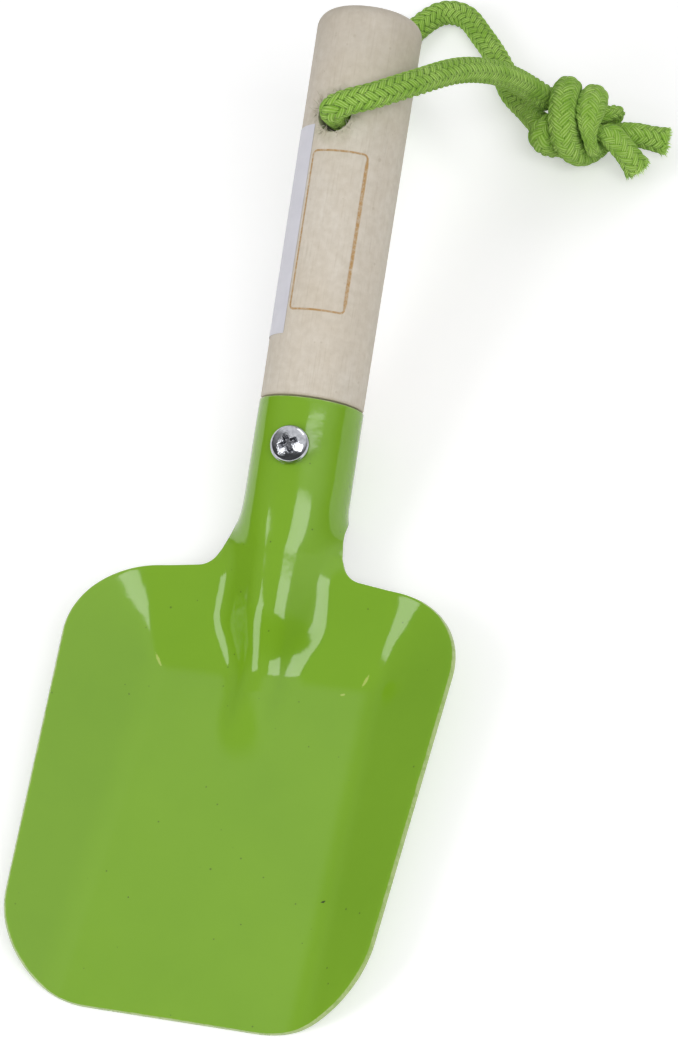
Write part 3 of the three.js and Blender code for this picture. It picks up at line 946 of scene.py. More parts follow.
@dataclass
class Blade:
    """Pan, ridge, neck and rolled socket of one sheet, with the sizes of its outline and bends."""

    seam_gap: float = 0.6
    neck_length: float = 13.0
    neck_half_width: float = 12.8
    neck_taper: float = 3.6
    neck_unroll: float = 2.7
    floor_length: float = 76.4
    floor_half_at_tip: float = 26.0
    floor_half_at_heel: float = 23.7
    pan_half_at_tip: float = 36.8
    pan_half_at_shoulder: float = 42.5
    pan_length: float = 93.8
    shoulder_rise: float = 3.4
    shoulder_radius: float = 18.3
    tip_radius: float = 20.5
    notch_flare: float = 2.0
    neck_fillet: float = 5.5
    wall_slope: float = math.radians(30.7)
    heel_slope: float = math.radians(14.5)
    heel_curve: float = 0.0078
    heel_top: float = 21.0
    heel_top_bend: float = 3.5
    wall_bend: float = 3.0
    heel_bend: float = 1.6
    ridge_radius: float = 5.6
    ridge_radius_at_neck: float = 7.5
    ridge_flank: float = math.radians(46)
    ridge_flank_at_neck: float = math.radians(37)
    ridge_fillet: float = 3.8
    ridge_fillet_at_neck: float = 1.6
    ridge_end: float = 72.0
    nose_height: float = 2.1
    nose_slope: float = math.radians(12)
    nose_bend: Pair = (75.0, 88.0)
    nose_power: float = 2.4
    nose_stretch: float = 0.5
    screw_hole_radius: float = 2.2
    half_columns: int = 60
    socket_rows: int = 20
    neck_rows: int = 34
    pan_rows: int = 230
    neck_fade: float = 0.2
    crowding: float = 1.4
    rim_round: float = 0.3
    rim_turn: float = 60.0
    rim_reach: float = 0.9
    crease: float = 40.0
    section_points: int = 193
    halvings: int = 40
    fine_steps: int = 8
    corner_steps: int = 40
    drill_sides: int = 32

    def from_socket(self, across: float, station: float, front: float) -> Triple:
        """Return a point given across, below the mouth along the axis, and out of the front."""
        y = TOOL.socket_reach - station * math.cos(TOOL.tilt) - front * math.sin(TOOL.tilt)
        z = TOOL.socket_height - station * math.sin(TOOL.tilt) + front * math.cos(TOOL.tilt)
        return (across, y, z)

    def bent_wall(self, distance: float, slope: float, bend: float) -> float:
        """Return the height of a wall that bends up out of the floor over a short round stretch."""
        if distance <= -bend:
            return 0.0
        if distance >= bend:
            return slope * distance
        return slope * (distance + bend) ** 2 / (4 * bend)

    def pan_height(self, x: float, y: float) -> float:
        """Return the height of floor, walls and heel, with round hips between them."""
        half = mix(self.floor_half_at_tip, self.floor_half_at_heel, y / self.floor_length)
        wall = self.bent_wall(abs(x) - half, math.tan(self.wall_slope), self.wall_bend)
        past = y - self.floor_length
        up = past - self.bent_wall(past - self.heel_top, 1.0, self.heel_top_bend)
        heel = self.bent_wall(up, math.tan(self.heel_slope), self.heel_bend)
        heel += self.heel_curve * max(up, 0.0) ** 2
        return math.hypot(wall, heel)

    def neck_crest(self) -> Triple:
        """Return the point of the crest where the neck leaves the pan."""
        return self.from_socket(0, TOOL.socket_length + self.neck_length, TOOL.socket_mid)

    def neck_share(self, y: float) -> float:
        """Return how far a place lies from the heel's foot to the end of the neck."""
        top_y = self.neck_crest()[1]
        return smooth(clamp((y - self.floor_length) / (top_y - self.floor_length)))

    def crest_height(self, y: float) -> float:
        """Return the height of the ridge's crest: in line with the socket, then a low nose."""
        _, top_y, top_z = self.neck_crest()
        line = top_z - TOOL.sheet / 2 - (top_y - y) * math.tan(TOOL.tilt)
        nose = self.nose_height + (y - self.ridge_end) * math.tan(self.nose_slope)
        low, high = self.nose_bend
        return mix(nose, line, smooth(clamp((y - low) / (high - low))))

    def ridge_height(self, x: float, y: float) -> float:
        """Return the height of the ridge, which carries the socket's front on into the pan."""
        share = self.neck_share(y)
        radius = mix(self.ridge_radius, self.ridge_radius_at_neck, share)
        flank = mix(self.ridge_flank, self.ridge_flank_at_neck, share)
        beyond = self.nose_stretch * max(self.ridge_end - y, 0.0)
        aside = (abs(x) ** self.nose_power + beyond**self.nose_power) ** (1 / self.nose_power)
        crest = self.crest_height(max(y, self.ridge_end))
        turned_part = radius * math.sin(flank)
        if aside < turned_part:
            return crest - radius + math.sqrt(radius**2 - aside**2)
        fall = radius * (1 - math.cos(flank))
        return crest - fall - (aside - turned_part) * math.tan(flank)

    def sheet_height(self, x: float, y: float) -> float:
        """Return the height of the sheet's middle, with a fillet where the ridge leaves the pan."""
        pan, ridge = self.pan_height(x, y), self.ridge_height(x, y)
        fillet = mix(self.ridge_fillet, self.ridge_fillet_at_neck, self.neck_share(y))
        near = max(fillet - abs(pan - ridge), 0.0)
        return TOOL.sheet / 2 + max(pan, ridge) + near**2 / (4 * fillet)

    def neck_section(self) -> np.ndarray:
        """Return the half section where the neck leaves the pan, square to the socket's axis."""
        cos, sin = math.cos(TOOL.tilt), math.sin(TOOL.tilt)
        wanted = TOOL.socket_length + self.neck_length
        points = []
        for x in np.linspace(0, self.neck_half_width, self.section_points):
            low, high = self.floor_length, TOOL.socket_reach
            for _ in range(self.halvings):
                y = (low + high) / 2
                drop = TOOL.socket_height - self.sheet_height(x, y)
                if (TOOL.socket_reach - y) * cos + drop * sin > wanted:
                    low = y
                else:
                    high = y
            rise = self.sheet_height(x, low) - TOOL.socket_height
            points.append((x, (TOOL.socket_reach - low) * sin + rise * cos))
        return np.array(points)

    def rolled_section(self, station: float, neck: np.ndarray) -> np.ndarray:
        """Return the half section at a station: rolled shut in the socket, opening toward the pan.

        Args:
            station: Distance below the socket's mouth.
            neck: The half section where the neck ends.

        Returns:
            Points across and out of the front, from the crest to the edge.
        """
        steps = np.diff(neck, axis=0)
        lengths = np.concatenate([[0], np.cumsum(np.hypot(steps[:, 0], steps[:, 1]))])
        angles = np.arctan2(steps[:, 1], steps[:, 0])
        opened = clamp((station - TOOL.socket_length) / self.neck_length)
        shut = math.pi * TOOL.socket_mid - self.seam_gap / 2
        length = mix(lengths[-1], shut, (1 - opened) ** self.neck_taper)
        count = self.half_columns * self.fine_steps
        at = (np.arange(count) + 0.5) / count * length
        found = np.clip(np.searchsorted(lengths, at) - 1, 0, len(angles) - 1)
        angle = mix(-at / TOOL.socket_mid, angles[found], opened**self.neck_unroll)
        moves = np.stack([np.cos(angle), np.sin(angle)], 1) * length / count
        path = np.concatenate([[[0, 0]], np.cumsum(moves, 0)]) + [0, TOOL.socket_mid]
        return path[:: self.fine_steps]

    def round_corner(
        self, before: Vector, corner: Vector, after: Vector, radius: float
    ) -> list[Vector]:
        """Return points of the arc that rounds a corner of the outline."""
        first, second = (before - corner).normalized(), (after - corner).normalized()
        half = math.acos(first.dot(second)) / 2
        centre = corner + (first + second).normalized() * radius / math.sin(half)
        start = corner + first * radius / math.tan(half) - centre
        end = corner + second * radius / math.tan(half) - centre
        turn = math.atan2(end.y, end.x) - math.atan2(start.y, start.x)
        turn -= round(turn / (2 * math.pi)) * 2 * math.pi
        count = self.corner_steps
        return [centre + Matrix.Rotation(turn * i / count, 2) @ start for i in range(count + 1)]

    def outline(self, neck: Vector) -> np.ndarray:
        """Return points along half the outline, from the neck to the tip, at even steps.

        Args:
            neck: Edge of the neck where it leaves the pan.

        Returns:
            One point for each row of the pan, and the neck's own.
        """
        notch_half = self.neck_half_width + self.notch_flare
        notch = Vector((notch_half, self.pan_length + self.shoulder_rise))
        shoulder = Vector((self.pan_half_at_shoulder, self.pan_length))
        tip = Vector((self.pan_half_at_tip, 0))
        fillet = min(self.neck_fillet, (neck - notch).length)
        corners = [
            neck,
            *self.round_corner(neck, notch, shoulder, fillet),
            *self.round_corner(notch, shoulder, tip, self.shoulder_radius),
            *self.round_corner(shoulder, tip, Vector((0, 0)), self.tip_radius),
        ]
        return spaced(np.array([tuple(corner) for corner in corners]), self.pan_rows + 1)

    def rows(self) -> np.ndarray:
        """Return the points of half the sheet's middle, in rows from the mouth to the tip."""
        neck = self.neck_section()
        stations = [TOOL.socket_length * j / self.socket_rows for j in range(self.socket_rows)]
        for j in range(self.neck_rows + 1):
            stations.append(TOOL.socket_length + self.neck_length * j / self.neck_rows)
        rows = [
            [self.from_socket(p[0], station, p[1]) for p in self.rolled_section(station, neck)]
            for station in stations
        ]
        last = np.array(rows[-1])
        rim = self.outline(Vector(last[-1, :2]))
        shares = last[:, 0] / last[-1, 0]
        bulge = last[:, 1] - mix(last[0, 1], last[-1, 1], shares)
        even = np.arange(self.half_columns + 1) / self.half_columns
        for j in range(1, self.pan_rows + 1):
            spine = last[0, 1] * (1 - j / self.pan_rows)
            past = smooth(clamp(j / (self.neck_fade * self.pan_rows)))
            share = mix(shares, even**self.crowding, past)
            across = rim[j][0] * share
            along = mix(spine, rim[j][1], share) + bulge * (1 - past)
            rows.append([(x, y, self.sheet_height(x, y)) for x, y in zip(across, along)])
        return np.array(rows)

    def build(self, finish: Enamel) -> Piece:
        """Model the sheet, thicken it, round its rim, drill the screw's hole and finish it.

        Args:
            finish: The enamel.

        Returns:
            The finished piece.
        """
        half = self.rows()
        mirrored = half[:, :0:-1] * [-1, 1, 1]
        sheet = np.concatenate([mirrored, half], 1)
        count_y, count_x = sheet.shape[:2]
        clear_selection()
        bpy.ops.mesh.primitive_grid_add(
            x_subdivisions=count_x - 1, y_subdivisions=count_y - 1, size=1
        )
        piece = take("enamelled_blade")
        places = (sheet - [0, TOOL.middle_reach, 0]) * MM
        piece.data.vertices.foreach_set("co", places.reshape(-1))
        steps = np.linalg.norm(np.diff(sheet, axis=1), axis=2)
        from_left = np.concatenate([np.zeros((count_y, 1)), np.cumsum(steps, 1)], 1)
        to_side = np.minimum(from_left, from_left[:, -1:] - from_left)
        drop = np.linalg.norm(np.diff(sheet, axis=0), axis=2)
        from_top = np.concatenate([np.zeros((1, count_x)), np.cumsum(drop, 0)], 0)
        to_rim = np.minimum(to_side, np.minimum(from_top, from_top[-1:] - from_top))
        # Nearness to the sheet's edge, which carries the worn rim and its painted highlight.
        write_values(piece, "rim", np.clip(1 - to_rim / self.rim_reach, 0, 1))
        face_out(piece)
        thicken(piece, TOOL.sheet, even=True)
        round_edges(piece, self.rim_round, self.rim_turn)
        apply_all(piece)
        reach = 2 * TOOL.socket_outer
        bore = [(self.screw_hole_radius, 0), (self.screw_hole_radius, reach)]
        drill = turned("drill", bore, self.drill_sides)
        settle(drill, TOOL.screw_frame())
        cut_away(piece, drill)
        soften(piece, self.crease)
        fit(piece, finish.material(), Slot.ENAMEL, "blade_and_socket")
        return piece


# Handle, sticker and screw


@dataclass
class Handle:
    """Turned handle with its spigot, rounded end and cord hole, and the sticker on its side."""

    spigot_length: float = 18.0
    chamfer: float = 0.7
    hole_radius: float = 3.7
    hole_flare: float = 0.5
    pilot_radius: float = 2.2
    pilot_depth: float = 14.3
    sides: int = 144
    bore_sides: int = 64
    pilot_sides: int = 32
    crease: float = 32.0
    chamfer_share: float = 0.3
    bore_mouth: tuple[Pair, ...] = ((3.0, 2.0), (1.0, 0.0), (0.3, -0.7), (0.0, -1.6))
    straight_points: int = 8
    straight_from: float = 8.0
    straight_short: float = 4.0
    end_steps: int = 12
    sticker_angles: Pair = (-164.0, -32.3)
    sticker_stations: Pair = (13.5, 59.0)
    sticker_lift: float = 0.1
    sticker_sheet: float = 0.05
    sticker_grid: tuple[int, int] = (60, 24)
    sticker_crease: float = 40.0
    splinter_count: int = 90
    splinter_thick: float = 0.08
    splinter_seed: int = 5
    splinter_ring: Pair = (-0.35, 0.5)
    splinter_root: float = 0.12
    splinter_lean: Pair = (-1.0, 0.6)
    splinter_rise: Pair = (0.15, 0.7)
    splinter_stray: float = 0.35
    splinter_lengths: Pair = (1.0, 2.2)
    splinter_curl: float = 0.25

    def profile(self) -> list[Pair]:
        """Return the handle's profile from the spigot to the rounded end."""
        spigot = TOOL.socket_outer - TOOL.sheet - TOOL.clearance
        foot, wide = TOOL.handle_radius_at_socket, TOOL.handle_radius_at_end
        part = self.chamfer_share * self.chamfer
        points = [
            (spigot - self.chamfer, -self.spigot_length),
            (spigot, self.chamfer - self.spigot_length),
            (spigot, TOOL.clearance),
            (foot - self.chamfer, TOOL.clearance),
            (foot - part, TOOL.clearance + part),
            (foot, TOOL.clearance + self.chamfer),
        ]
        straight = TOOL.handle_length - TOOL.handle_end_round
        last = straight - self.straight_short
        stations = np.linspace(self.straight_from, last, self.straight_points)
        points += [(TOOL.handle_radius(station), station) for station in stations]
        for i in range(self.end_steps + 1):
            angle = math.pi / 2 * i / self.end_steps
            points.append((
                wide - TOOL.handle_end_round * (1 - math.cos(angle)),
                TOOL.handle_length - TOOL.handle_end_round * (1 - math.sin(angle)),
            ))
        return points

    def build(self, finish: Beech) -> Piece:
        """Turn the handle, drill its holes and finish it.

        Args:
            finish: The wood.

        Returns:
            The finished piece.
        """
        piece = turned("beech_handle", self.profile(), self.sides)
        settle(piece, TOOL.handle_frame() @ Matrix.Rotation(-math.pi / 2, 4, "X"))
        far = TOOL.handle_radius_at_end
        wide, flare = self.hole_radius, self.hole_flare
        mouth = [(wide + share * flare, far + over) for share, over in self.bore_mouth]
        bore = [(radius, -along) for radius, along in mouth] + mouth[::-1]
        cutter = turned("bore", bore, self.bore_sides)
        hole = Matrix.Translation((0, TOOL.hole_station * MM, 0))
        settle(cutter, TOOL.handle_frame() @ (hole @ Matrix.Rotation(TOOL.hole_turn, 4, "Y")))
        cut_away(piece, cutter)
        floor = TOOL.socket_outer - self.pilot_depth
        shaft = [(self.pilot_radius, floor), (self.pilot_radius, 2 * far)]
        pilot = turned("pilot", shaft, self.pilot_sides)
        settle(pilot, TOOL.screw_frame())
        cut_away(piece, pilot)
        soften(piece, self.crease)
        fit(piece, finish.material(), Slot.BEECH, "handle")
        return piece

    def splinters(self, wood: Piece) -> Piece:
        """Raise the fibres that the drill tore up round the front of the hole.

        Args:
            wood: The finished handle.

        Returns:
            The fibres.
        """
        chance = np.random.default_rng(self.splinter_seed)
        count = self.splinter_count
        turn = chance.uniform(0, 2 * math.pi, count)
        off = self.hole_radius + self.hole_flare + chance.uniform(*self.splinter_ring, count)
        across, along = off * np.cos(turn), TOOL.hole_station + off * np.sin(turn)
        across = across + TOOL.handle_radius_at_end * math.sin(TOOL.hole_turn)
        front = np.sqrt(TOOL.handle_radius(TOOL.hole_station) ** 2 - across**2) - self.splinter_root
        outward = -chance.uniform(*self.splinter_lean, count)
        rise = chance.uniform(*self.splinter_rise, count)
        ways = np.stack([np.cos(turn) * outward, np.sin(turn) * outward, rise], 1)
        ways += chance.normal(0, self.splinter_stray, (count, 3))
        ways *= chance.uniform(*self.splinter_lengths, count)[:, None]
        curls = chance.normal(0, self.splinter_curl, (count, 3))
        roots = np.stack([across, along, front], 1)
        piece = tuft("hole_fibres", roots, ways, curls, self.splinter_thick)
        settle(piece, TOOL.handle_frame())
        fit(piece, wood.data.materials[0], Slot.BEECH)
        return piece

    def sticker(self, finish: Paper) -> Piece:
        """Lay the unprinted paper sticker round the handle's side.

        Args:
            finish: The paper.

        Returns:
            The finished sticker.
        """
        clear_selection()
        columns, rows = self.sticker_grid
        bpy.ops.mesh.primitive_grid_add(x_subdivisions=columns, y_subdivisions=rows, size=1)
        piece = take("bare_sticker")
        places = []
        for station in np.linspace(*self.sticker_stations, rows + 1):
            for angle in np.radians(np.linspace(*self.sticker_angles, columns + 1)):
                radius = TOOL.handle_radius(station) + self.sticker_lift
                places.append((radius * math.sin(angle), station, radius * math.cos(angle)))
        piece.data.vertices.foreach_set("co", (np.array(places) * MM).reshape(-1))
        thicken(piece, self.sticker_sheet)
        apply_all(piece)
        face_out(piece)
        settle(piece, TOOL.handle_frame())
        soften(piece, self.sticker_crease)
        fit(piece, finish.material(), None)
        return piece


@dataclass
class Screw:
    """Pan head wood screw with a worn cross recess."""

    head_radius: float = 4.15
    head_height: float = 2.7
    head_rim: float = 0.7
    shank_radius: float = 1.9
    shank_length: float = 14.0
    point_radius: float = 0.25
    under_round: float = 0.2
    recess_span: float = 5.4
    recess_arm: float = 1.35
    recess_depth: float = 1.6
    recess_floor: Pair = (0.45, 0.7)
    recess_over: float = 0.5
    edge_round: float = 0.12
    edge_turn: float = 40.0
    wear_from: float = 1.6
    wear_over: float = 1.4
    wear_above: float = 0.8
    recess_shade_depth: float = 0.8
    turn: float = 0.5
    crease: float = 35.0
    dome_steps: int = 16
    sides: int = 72

    def build(self, finish: Zinc) -> Piece:
        """Turn the screw, cut its recess and finish it.

        Args:
            finish: The plating.

        Returns:
            The finished piece.
        """
        seat = TOOL.socket_outer + TOOL.clearance / 2
        start = TOOL.socket_outer - self.shank_length
        profile = [
            (self.point_radius, start),
            (self.shank_radius, start + self.shank_radius),
            (self.shank_radius, seat),
            (self.head_radius - self.under_round, seat),
            (self.head_radius, seat + self.under_round),
            (self.head_radius, seat + self.head_rim),
        ]
        dome = self.head_height - self.head_rim
        for i in range(1, self.dome_steps):
            angle = math.pi / 2 * i / self.dome_steps
            height = seat + self.head_rim + dome * math.sin(angle)
            profile.append((self.head_radius * math.cos(angle), height))
        piece = turned("zinc_screw", profile, self.sides)
        for turn in (0.0, math.pi / 2):
            cut_away(piece, self.arm(seat + self.head_height, turn))
        round_edges(piece, self.edge_round, self.edge_turn)
        apply_all(piece)
        places = np.array([vertex.co for vertex in piece.data.vertices])
        off, height = np.hypot(places[:, 0], places[:, 1]) / MM, places[:, 2] / MM
        near = np.clip(1 - (off - self.wear_from) / self.wear_over, 0, 1)
        near = near * (height > seat + self.wear_above)
        rounded = np.sqrt(np.clip(1 - (off / self.head_radius) ** 2, 0, 1))
        below = seat + self.head_rim + dome * rounded - height
        write_values(piece, "recess", near)
        # How deep each point lies below the dome, which sets the painted shade in the recess.
        write_values(piece, "sunk", np.clip(below / self.recess_shade_depth, 0, 1) * (near > 0))
        settle(piece, TOOL.screw_frame() @ Matrix.Rotation(self.turn, 4, "Z"))
        soften(piece, self.crease)
        fit(piece, finish.material(), Slot.ZINC, "screw")
        return piece

    def arm(self, top: float, turn: float) -> Piece:
        """Return the cutter of one arm of the recess, narrower at its floor.

        Args:
            top: Height of the head's top along the screw.
            turn: Turn of the arm round the screw.

        Returns:
            The cutter.
        """
        clear_selection()
        bpy.ops.mesh.primitive_cube_add(size=1)
        cutter = take("recess_arm")
        wide = np.array([self.recess_span, self.recess_arm]) / 2
        for vertex in cutter.data.vertices:
            low = vertex.co.z < 0
            share = self.recess_floor if low else (1.0, 1.0)
            sign = np.copysign(1, vertex.co[:2])
            height = top - self.recess_depth if low else top + self.recess_over
            vertex.co = Vector((*(sign * wide * share), height)) * MM
        settle(cutter, Matrix.Rotation(turn, 4, "Z"))
        return cutter


# Cord


@dataclass
class Cord:
    """One braided cord through the handle's hole, its two ends tied in one knot."""

    radius: float = 2.85
    bend_depth: float = 1.0
    core_strand: float = 1.9
    wrap_strand: float = 3.35
    wrap_squeeze: float = 1.75
    squeeze_from: float = 3.2
    squeeze_over: float = 2.5
    free_from: float = 6.6
    free_over: float = 2.6
    strand_pitch: float = 4.2
    wrap_sink: float = 1.15
    wrap_advance: float = 13.0
    knot_front_start: float = math.radians(45)
    knot_back_start: float = math.radians(225)
    knot_sweep: float = math.radians(450)
    bend_sweep: float = math.radians(50)
    bend_reach: float = 3.6
    half_length: float = 9.0
    knot_centre: Triple = (40.3, 110.9, 9.6)
    knot_axis: Triple = (0.96, -0.28, 0.0)
    knot_reach: float = 16.0
    # Painted light: how much the painted gap shade is eased near the knot.
    knot_light: float = 0.22
    knot_fade: float = 4.0
    plaits: int = 8
    lay: float = 15.0
    plait_depth: float = 0.55
    plait_square: float = 2.6
    plait_full: float = 0.6
    arch_full: float = 0.5
    arch_least: float = 0.3
    yarn_shift: float = 7.3
    sides: int = 96
    step: float = 0.28
    path_every: int = 4
    tail_flare: float = 0.35
    flare_length: float = 5.0
    cap_sink: float = 1.2
    # Plait values of the end caps, which give them painted shade.
    cap_shades: Pair = (0.5, 0.3)
    yarn_seeds: tuple[int, int] = (11, 23)
    yarn_ends: int = 220
    yarn_lengths: Pair = (0.9, 1.9)
    yarn_thick: float = 0.17
    yarn_root: float = 0.7
    yarn_spread: float = 0.93
    yarn_least: float = 0.02
    yarn_flare: float = 0.28
    yarn_curl: Pair = (0.12, 0.2)
    yarn_stray: float = 0.14
    # Plait values of each frayed yarn: painted shade at its root, none further out.
    yarn_shades: tuple[float, ...] = (0.5, 0.5, 0.5, 1.0, 1.0, 1.0, 1.0)
    # Place on the weave at a yarn's back, where there is no painted shade between yarns.
    yarn_back: Pair = (1 / 6, 0.0)
    front_route: Route = (
        (-0.7, 76.0, 53.6), (2.6, 77.2, 54.6), (6.9, 79.3, 54.3), (13.4, 85.8, 51.0),
        (19.9, 96.5, 43.0), (24.4, 104.9, 33.0), (27.0, 110.6, 23.8), (29.0, 114.2, 16.6),
    )
    back_route: Route = (
        (0.8, 87.4, 26.0), (0.6, 92.0, 19.0), (-0.9, 103.0, 10.0), (-5.6, 117.0, 4.6),
        (-8.0, 129.0, 3.2), (-5.4, 138.5, 3.1), (0.2, 144.9, 3.1), (5.6, 144.6, 3.1),
        (11.6, 138.4, 3.1), (17.4, 130.6, 3.3), (21.6, 122.4, 4.0), (26.6, 117.0, 4.8),
    )
    front_tail: Route = (
        (53.0, 110.6, 7.2), (56.0, 111.0, 6.0), (58.9, 111.4, 4.8),
    )
    back_tail: Route = ((51.0, 105.0, 9.4), (54.1, 103.3, 5.0))

    @property
    def core(self) -> float:
        """Radius on which the strands run through the knot's middle."""
        return self.strand_pitch / math.sqrt(2)

    @property
    def wrap(self) -> float:
        """Radius on which the strands wrap round the knot."""
        return self.core + self.strand_pitch - self.wrap_sink

    def knot_point(self, along: float, radius: float, angle: float) -> np.ndarray:
        """Return a point given along the knot's axis, away from it, and round it."""
        axis = np.array(Vector(self.knot_axis).normalized())
        up = np.array([0.0, 0.0, 1.0])
        side = np.cross(up, axis)
        out = side * math.cos(angle) + up * math.sin(angle)
        return np.array(self.knot_centre) + axis * along + radius * out

    def knot_strand(self, start: float) -> list[np.ndarray]:
        """Return the path of one strand: through the middle, back in one wrap, and out through it.

        Args:
            start: Angle at which the strand enters.

        Returns:
            Points of the strand.
        """
        end = start - self.knot_sweep
        wrap_sweep = self.knot_sweep - 2 * self.bend_sweep
        reach = self.wrap_advance * wrap_sweep / (4 * math.pi)
        bends, wraps = 4, 14

        def bend(side: int, part: float, origin: float) -> np.ndarray:
            """Return a point of the bend between middle and wrap, on either side of the knot."""
            out = 1 - math.cos(part * math.pi / 2)
            left = self.bend_reach * (1 - math.sin(part * math.pi / 2))
            angle = origin - side * self.bend_sweep * out
            return self.knot_point(side * (reach - left), mix(self.core, self.wrap, out), angle)

        first = np.arange(-self.half_length, reach - self.bend_reach - 1, self.core)
        points = [self.knot_point(along, self.core, start) for along in first]
        points += [bend(1, i / bends, start) for i in range(bends)]
        for i in range(wraps + 1):
            angle = start - self.bend_sweep - wrap_sweep * i / wraps
            points.append(self.knot_point(mix(reach, -reach, i / wraps), self.wrap, angle))
        points += [bend(-1, i / bends, end) for i in reversed(range(bends))]
        last = np.arange(self.bend_reach - reach + self.core, self.half_length - 1, self.core)
        points += [self.knot_point(along, self.core, end) for along in last]
        return points

    def strand(self, front: bool) -> np.ndarray:
        """Return one strand from the middle of the hole through its leg and the knot to its tail.

        Args:
            front: True for the strand that leaves by the handle's front.

        Returns:
            Points at even steps.
        """
        side = 1 if front else -1
        start = self.knot_front_start if front else self.knot_back_start
        frame = TOOL.handle_frame()
        hole = np.array(frame @ Vector((0, TOOL.hole_station * MM, 0))) / MM
        out = frame.to_3x3() @ Vector((math.sin(TOOL.hole_turn), 0, math.cos(TOOL.hole_turn)))
        out = np.array(out) * side
        depth = TOOL.handle_radius_at_end - self.bend_depth
        points = [hole + out * TOOL.clearance / 2, hole + out * depth]
        points += [np.array(p) for p in (self.front_route if front else self.back_route)]
        points += self.knot_strand(start)
        points.append(self.knot_point(self.half_length, self.core, start - self.knot_sweep))
        points += [np.array(p) for p in (self.front_tail if front else self.back_tail)]
        return even_curve(np.array(points), self.step)

    def radii(self, line: np.ndarray, run: np.ndarray) -> np.ndarray:
        """Return the radius along a strand: pressed thin inside the knot, flared at the tail.

        Args:
            line: Points of the strand.
            run: Length along the strand of each point.

        Returns:
            One radius for each point.
        """
        axis = np.array(Vector(self.knot_axis).normalized())
        away = line - np.array(self.knot_centre)
        along = away @ axis
        off = np.linalg.norm(away - along[:, None] * axis, axis=1)
        out = smooth(np.clip((off - self.core) / (self.wrap - self.core), 0, 1))
        free = smooth(np.clip((np.abs(along) - self.free_from) / self.free_over, 0, 1))
        pressed = smooth(np.clip((along - self.squeeze_from) / self.squeeze_over, 0, 1))
        wide = self.wrap_strand - self.wrap_squeeze * pressed
        inside = self.core_strand + (wide - self.core_strand) * out
        radius = mix(inside, self.radius, free)
        near = np.linalg.norm(away, axis=1) < 2 * self.half_length
        radius = np.where(near, radius, self.radius)
        last = np.clip((run - run[-1] + self.flare_length) / self.flare_length, 0, 1)
        return radius + self.tail_flare * last**2

    def build(self, front: bool, finish: bpy.types.Material) -> Piece:
        """Braid one strand round its path and finish it.

        Args:
            front: True for the strand that leaves by the handle's front.
            finish: The braid's material.

        Returns:
            The finished strand.
        """
        line = self.strand(front)
        count = len(line)
        run = run_along(line)
        radius = self.radii(line, run)
        normals, binormals = carried_frames(line)
        turn = np.arange(self.sides) / self.sides
        height = self.height(turn[None, :], run[:, None] / self.lay)
        away = radius[:, None] - self.plait_depth * (1 - height)
        cos, sin = (part(2 * math.pi * turn)[None, :, None] for part in (np.cos, np.sin))
        ring = normals[:, None] * cos + binormals[:, None] * sin
        places = line[:, None] + ring * away[..., None]
        ends = [line[0], line[-1] - (line[-1] - line[-2]) * self.cap_sink]
        places = np.concatenate([places.reshape(-1, 3), np.array(ends)])
        faces = []
        for j in range(count - 1):
            for i in range(self.sides):
                k = (i + 1) % self.sides
                a, b = j * self.sides, (j + 1) * self.sides
                faces.append((a + i, a + k, b + k, b + i))
        top, last = count * self.sides, (count - 1) * self.sides
        for i in range(self.sides):
            k = (i + 1) % self.sides
            faces.append((top, k, i))
            faces.append((top + 1, last + i, last + k))
        piece = from_points("cord_front_braid" if front else "cord_back_braid", places, faces)
        to_knot = np.linalg.norm(line - np.array(self.knot_centre), axis=1)
        # Painted light: the plait value, which sets the painted gap shade, is raised near the knot.
        near_knot = np.clip((self.knot_reach - to_knot) / self.knot_fade, 0, 1)
        shown = height + (1 - height) * (self.knot_light * near_knot)[:, None]
        write_values(piece, "plait", np.append(shown.reshape(-1), self.cap_shades))
        self.weave(piece.data, run)
        for polygon in piece.data.polygons:
            polygon.use_smooth = True
        fit(piece, finish, Slot.BRAID, "cord_front" if front else "cord_back")
        frayed = self.fray(line, radius[-1], front, finish)
        LOG.info("%s: %.0f mm of cord", piece.name, run[-1])
        return piece

    def height(self, turn: np.ndarray, along: np.ndarray) -> np.ndarray:
        """Return the height of the braided surface, 1 on a plait's back and 0 in a gap.

        Args:
            turn: Turns round the cord.
            along: Lays along the cord.

        Returns:
            Heights from 0 to 1.
        """
        right, left = self.plaits * (along + turn), self.plaits * (along - turn)
        i, j = np.floor(right), np.floor(left)
        upper = np.mod(i - j, 4) < 2
        across = np.where(upper, right - i, left - j) - 0.5
        passed = np.where(upper, np.mod(left - i + 1, 4), np.mod(right - j - 2, 4))
        back = np.clip(1 - np.abs(2 * across) ** self.plait_square, 0, 1) ** self.plait_full
        arch = np.clip(np.sin(math.pi * np.clip(passed, 0, 2) / 2), 0, 1) ** self.arch_full
        return back * (self.arch_least + (1 - self.arch_least) * arch)

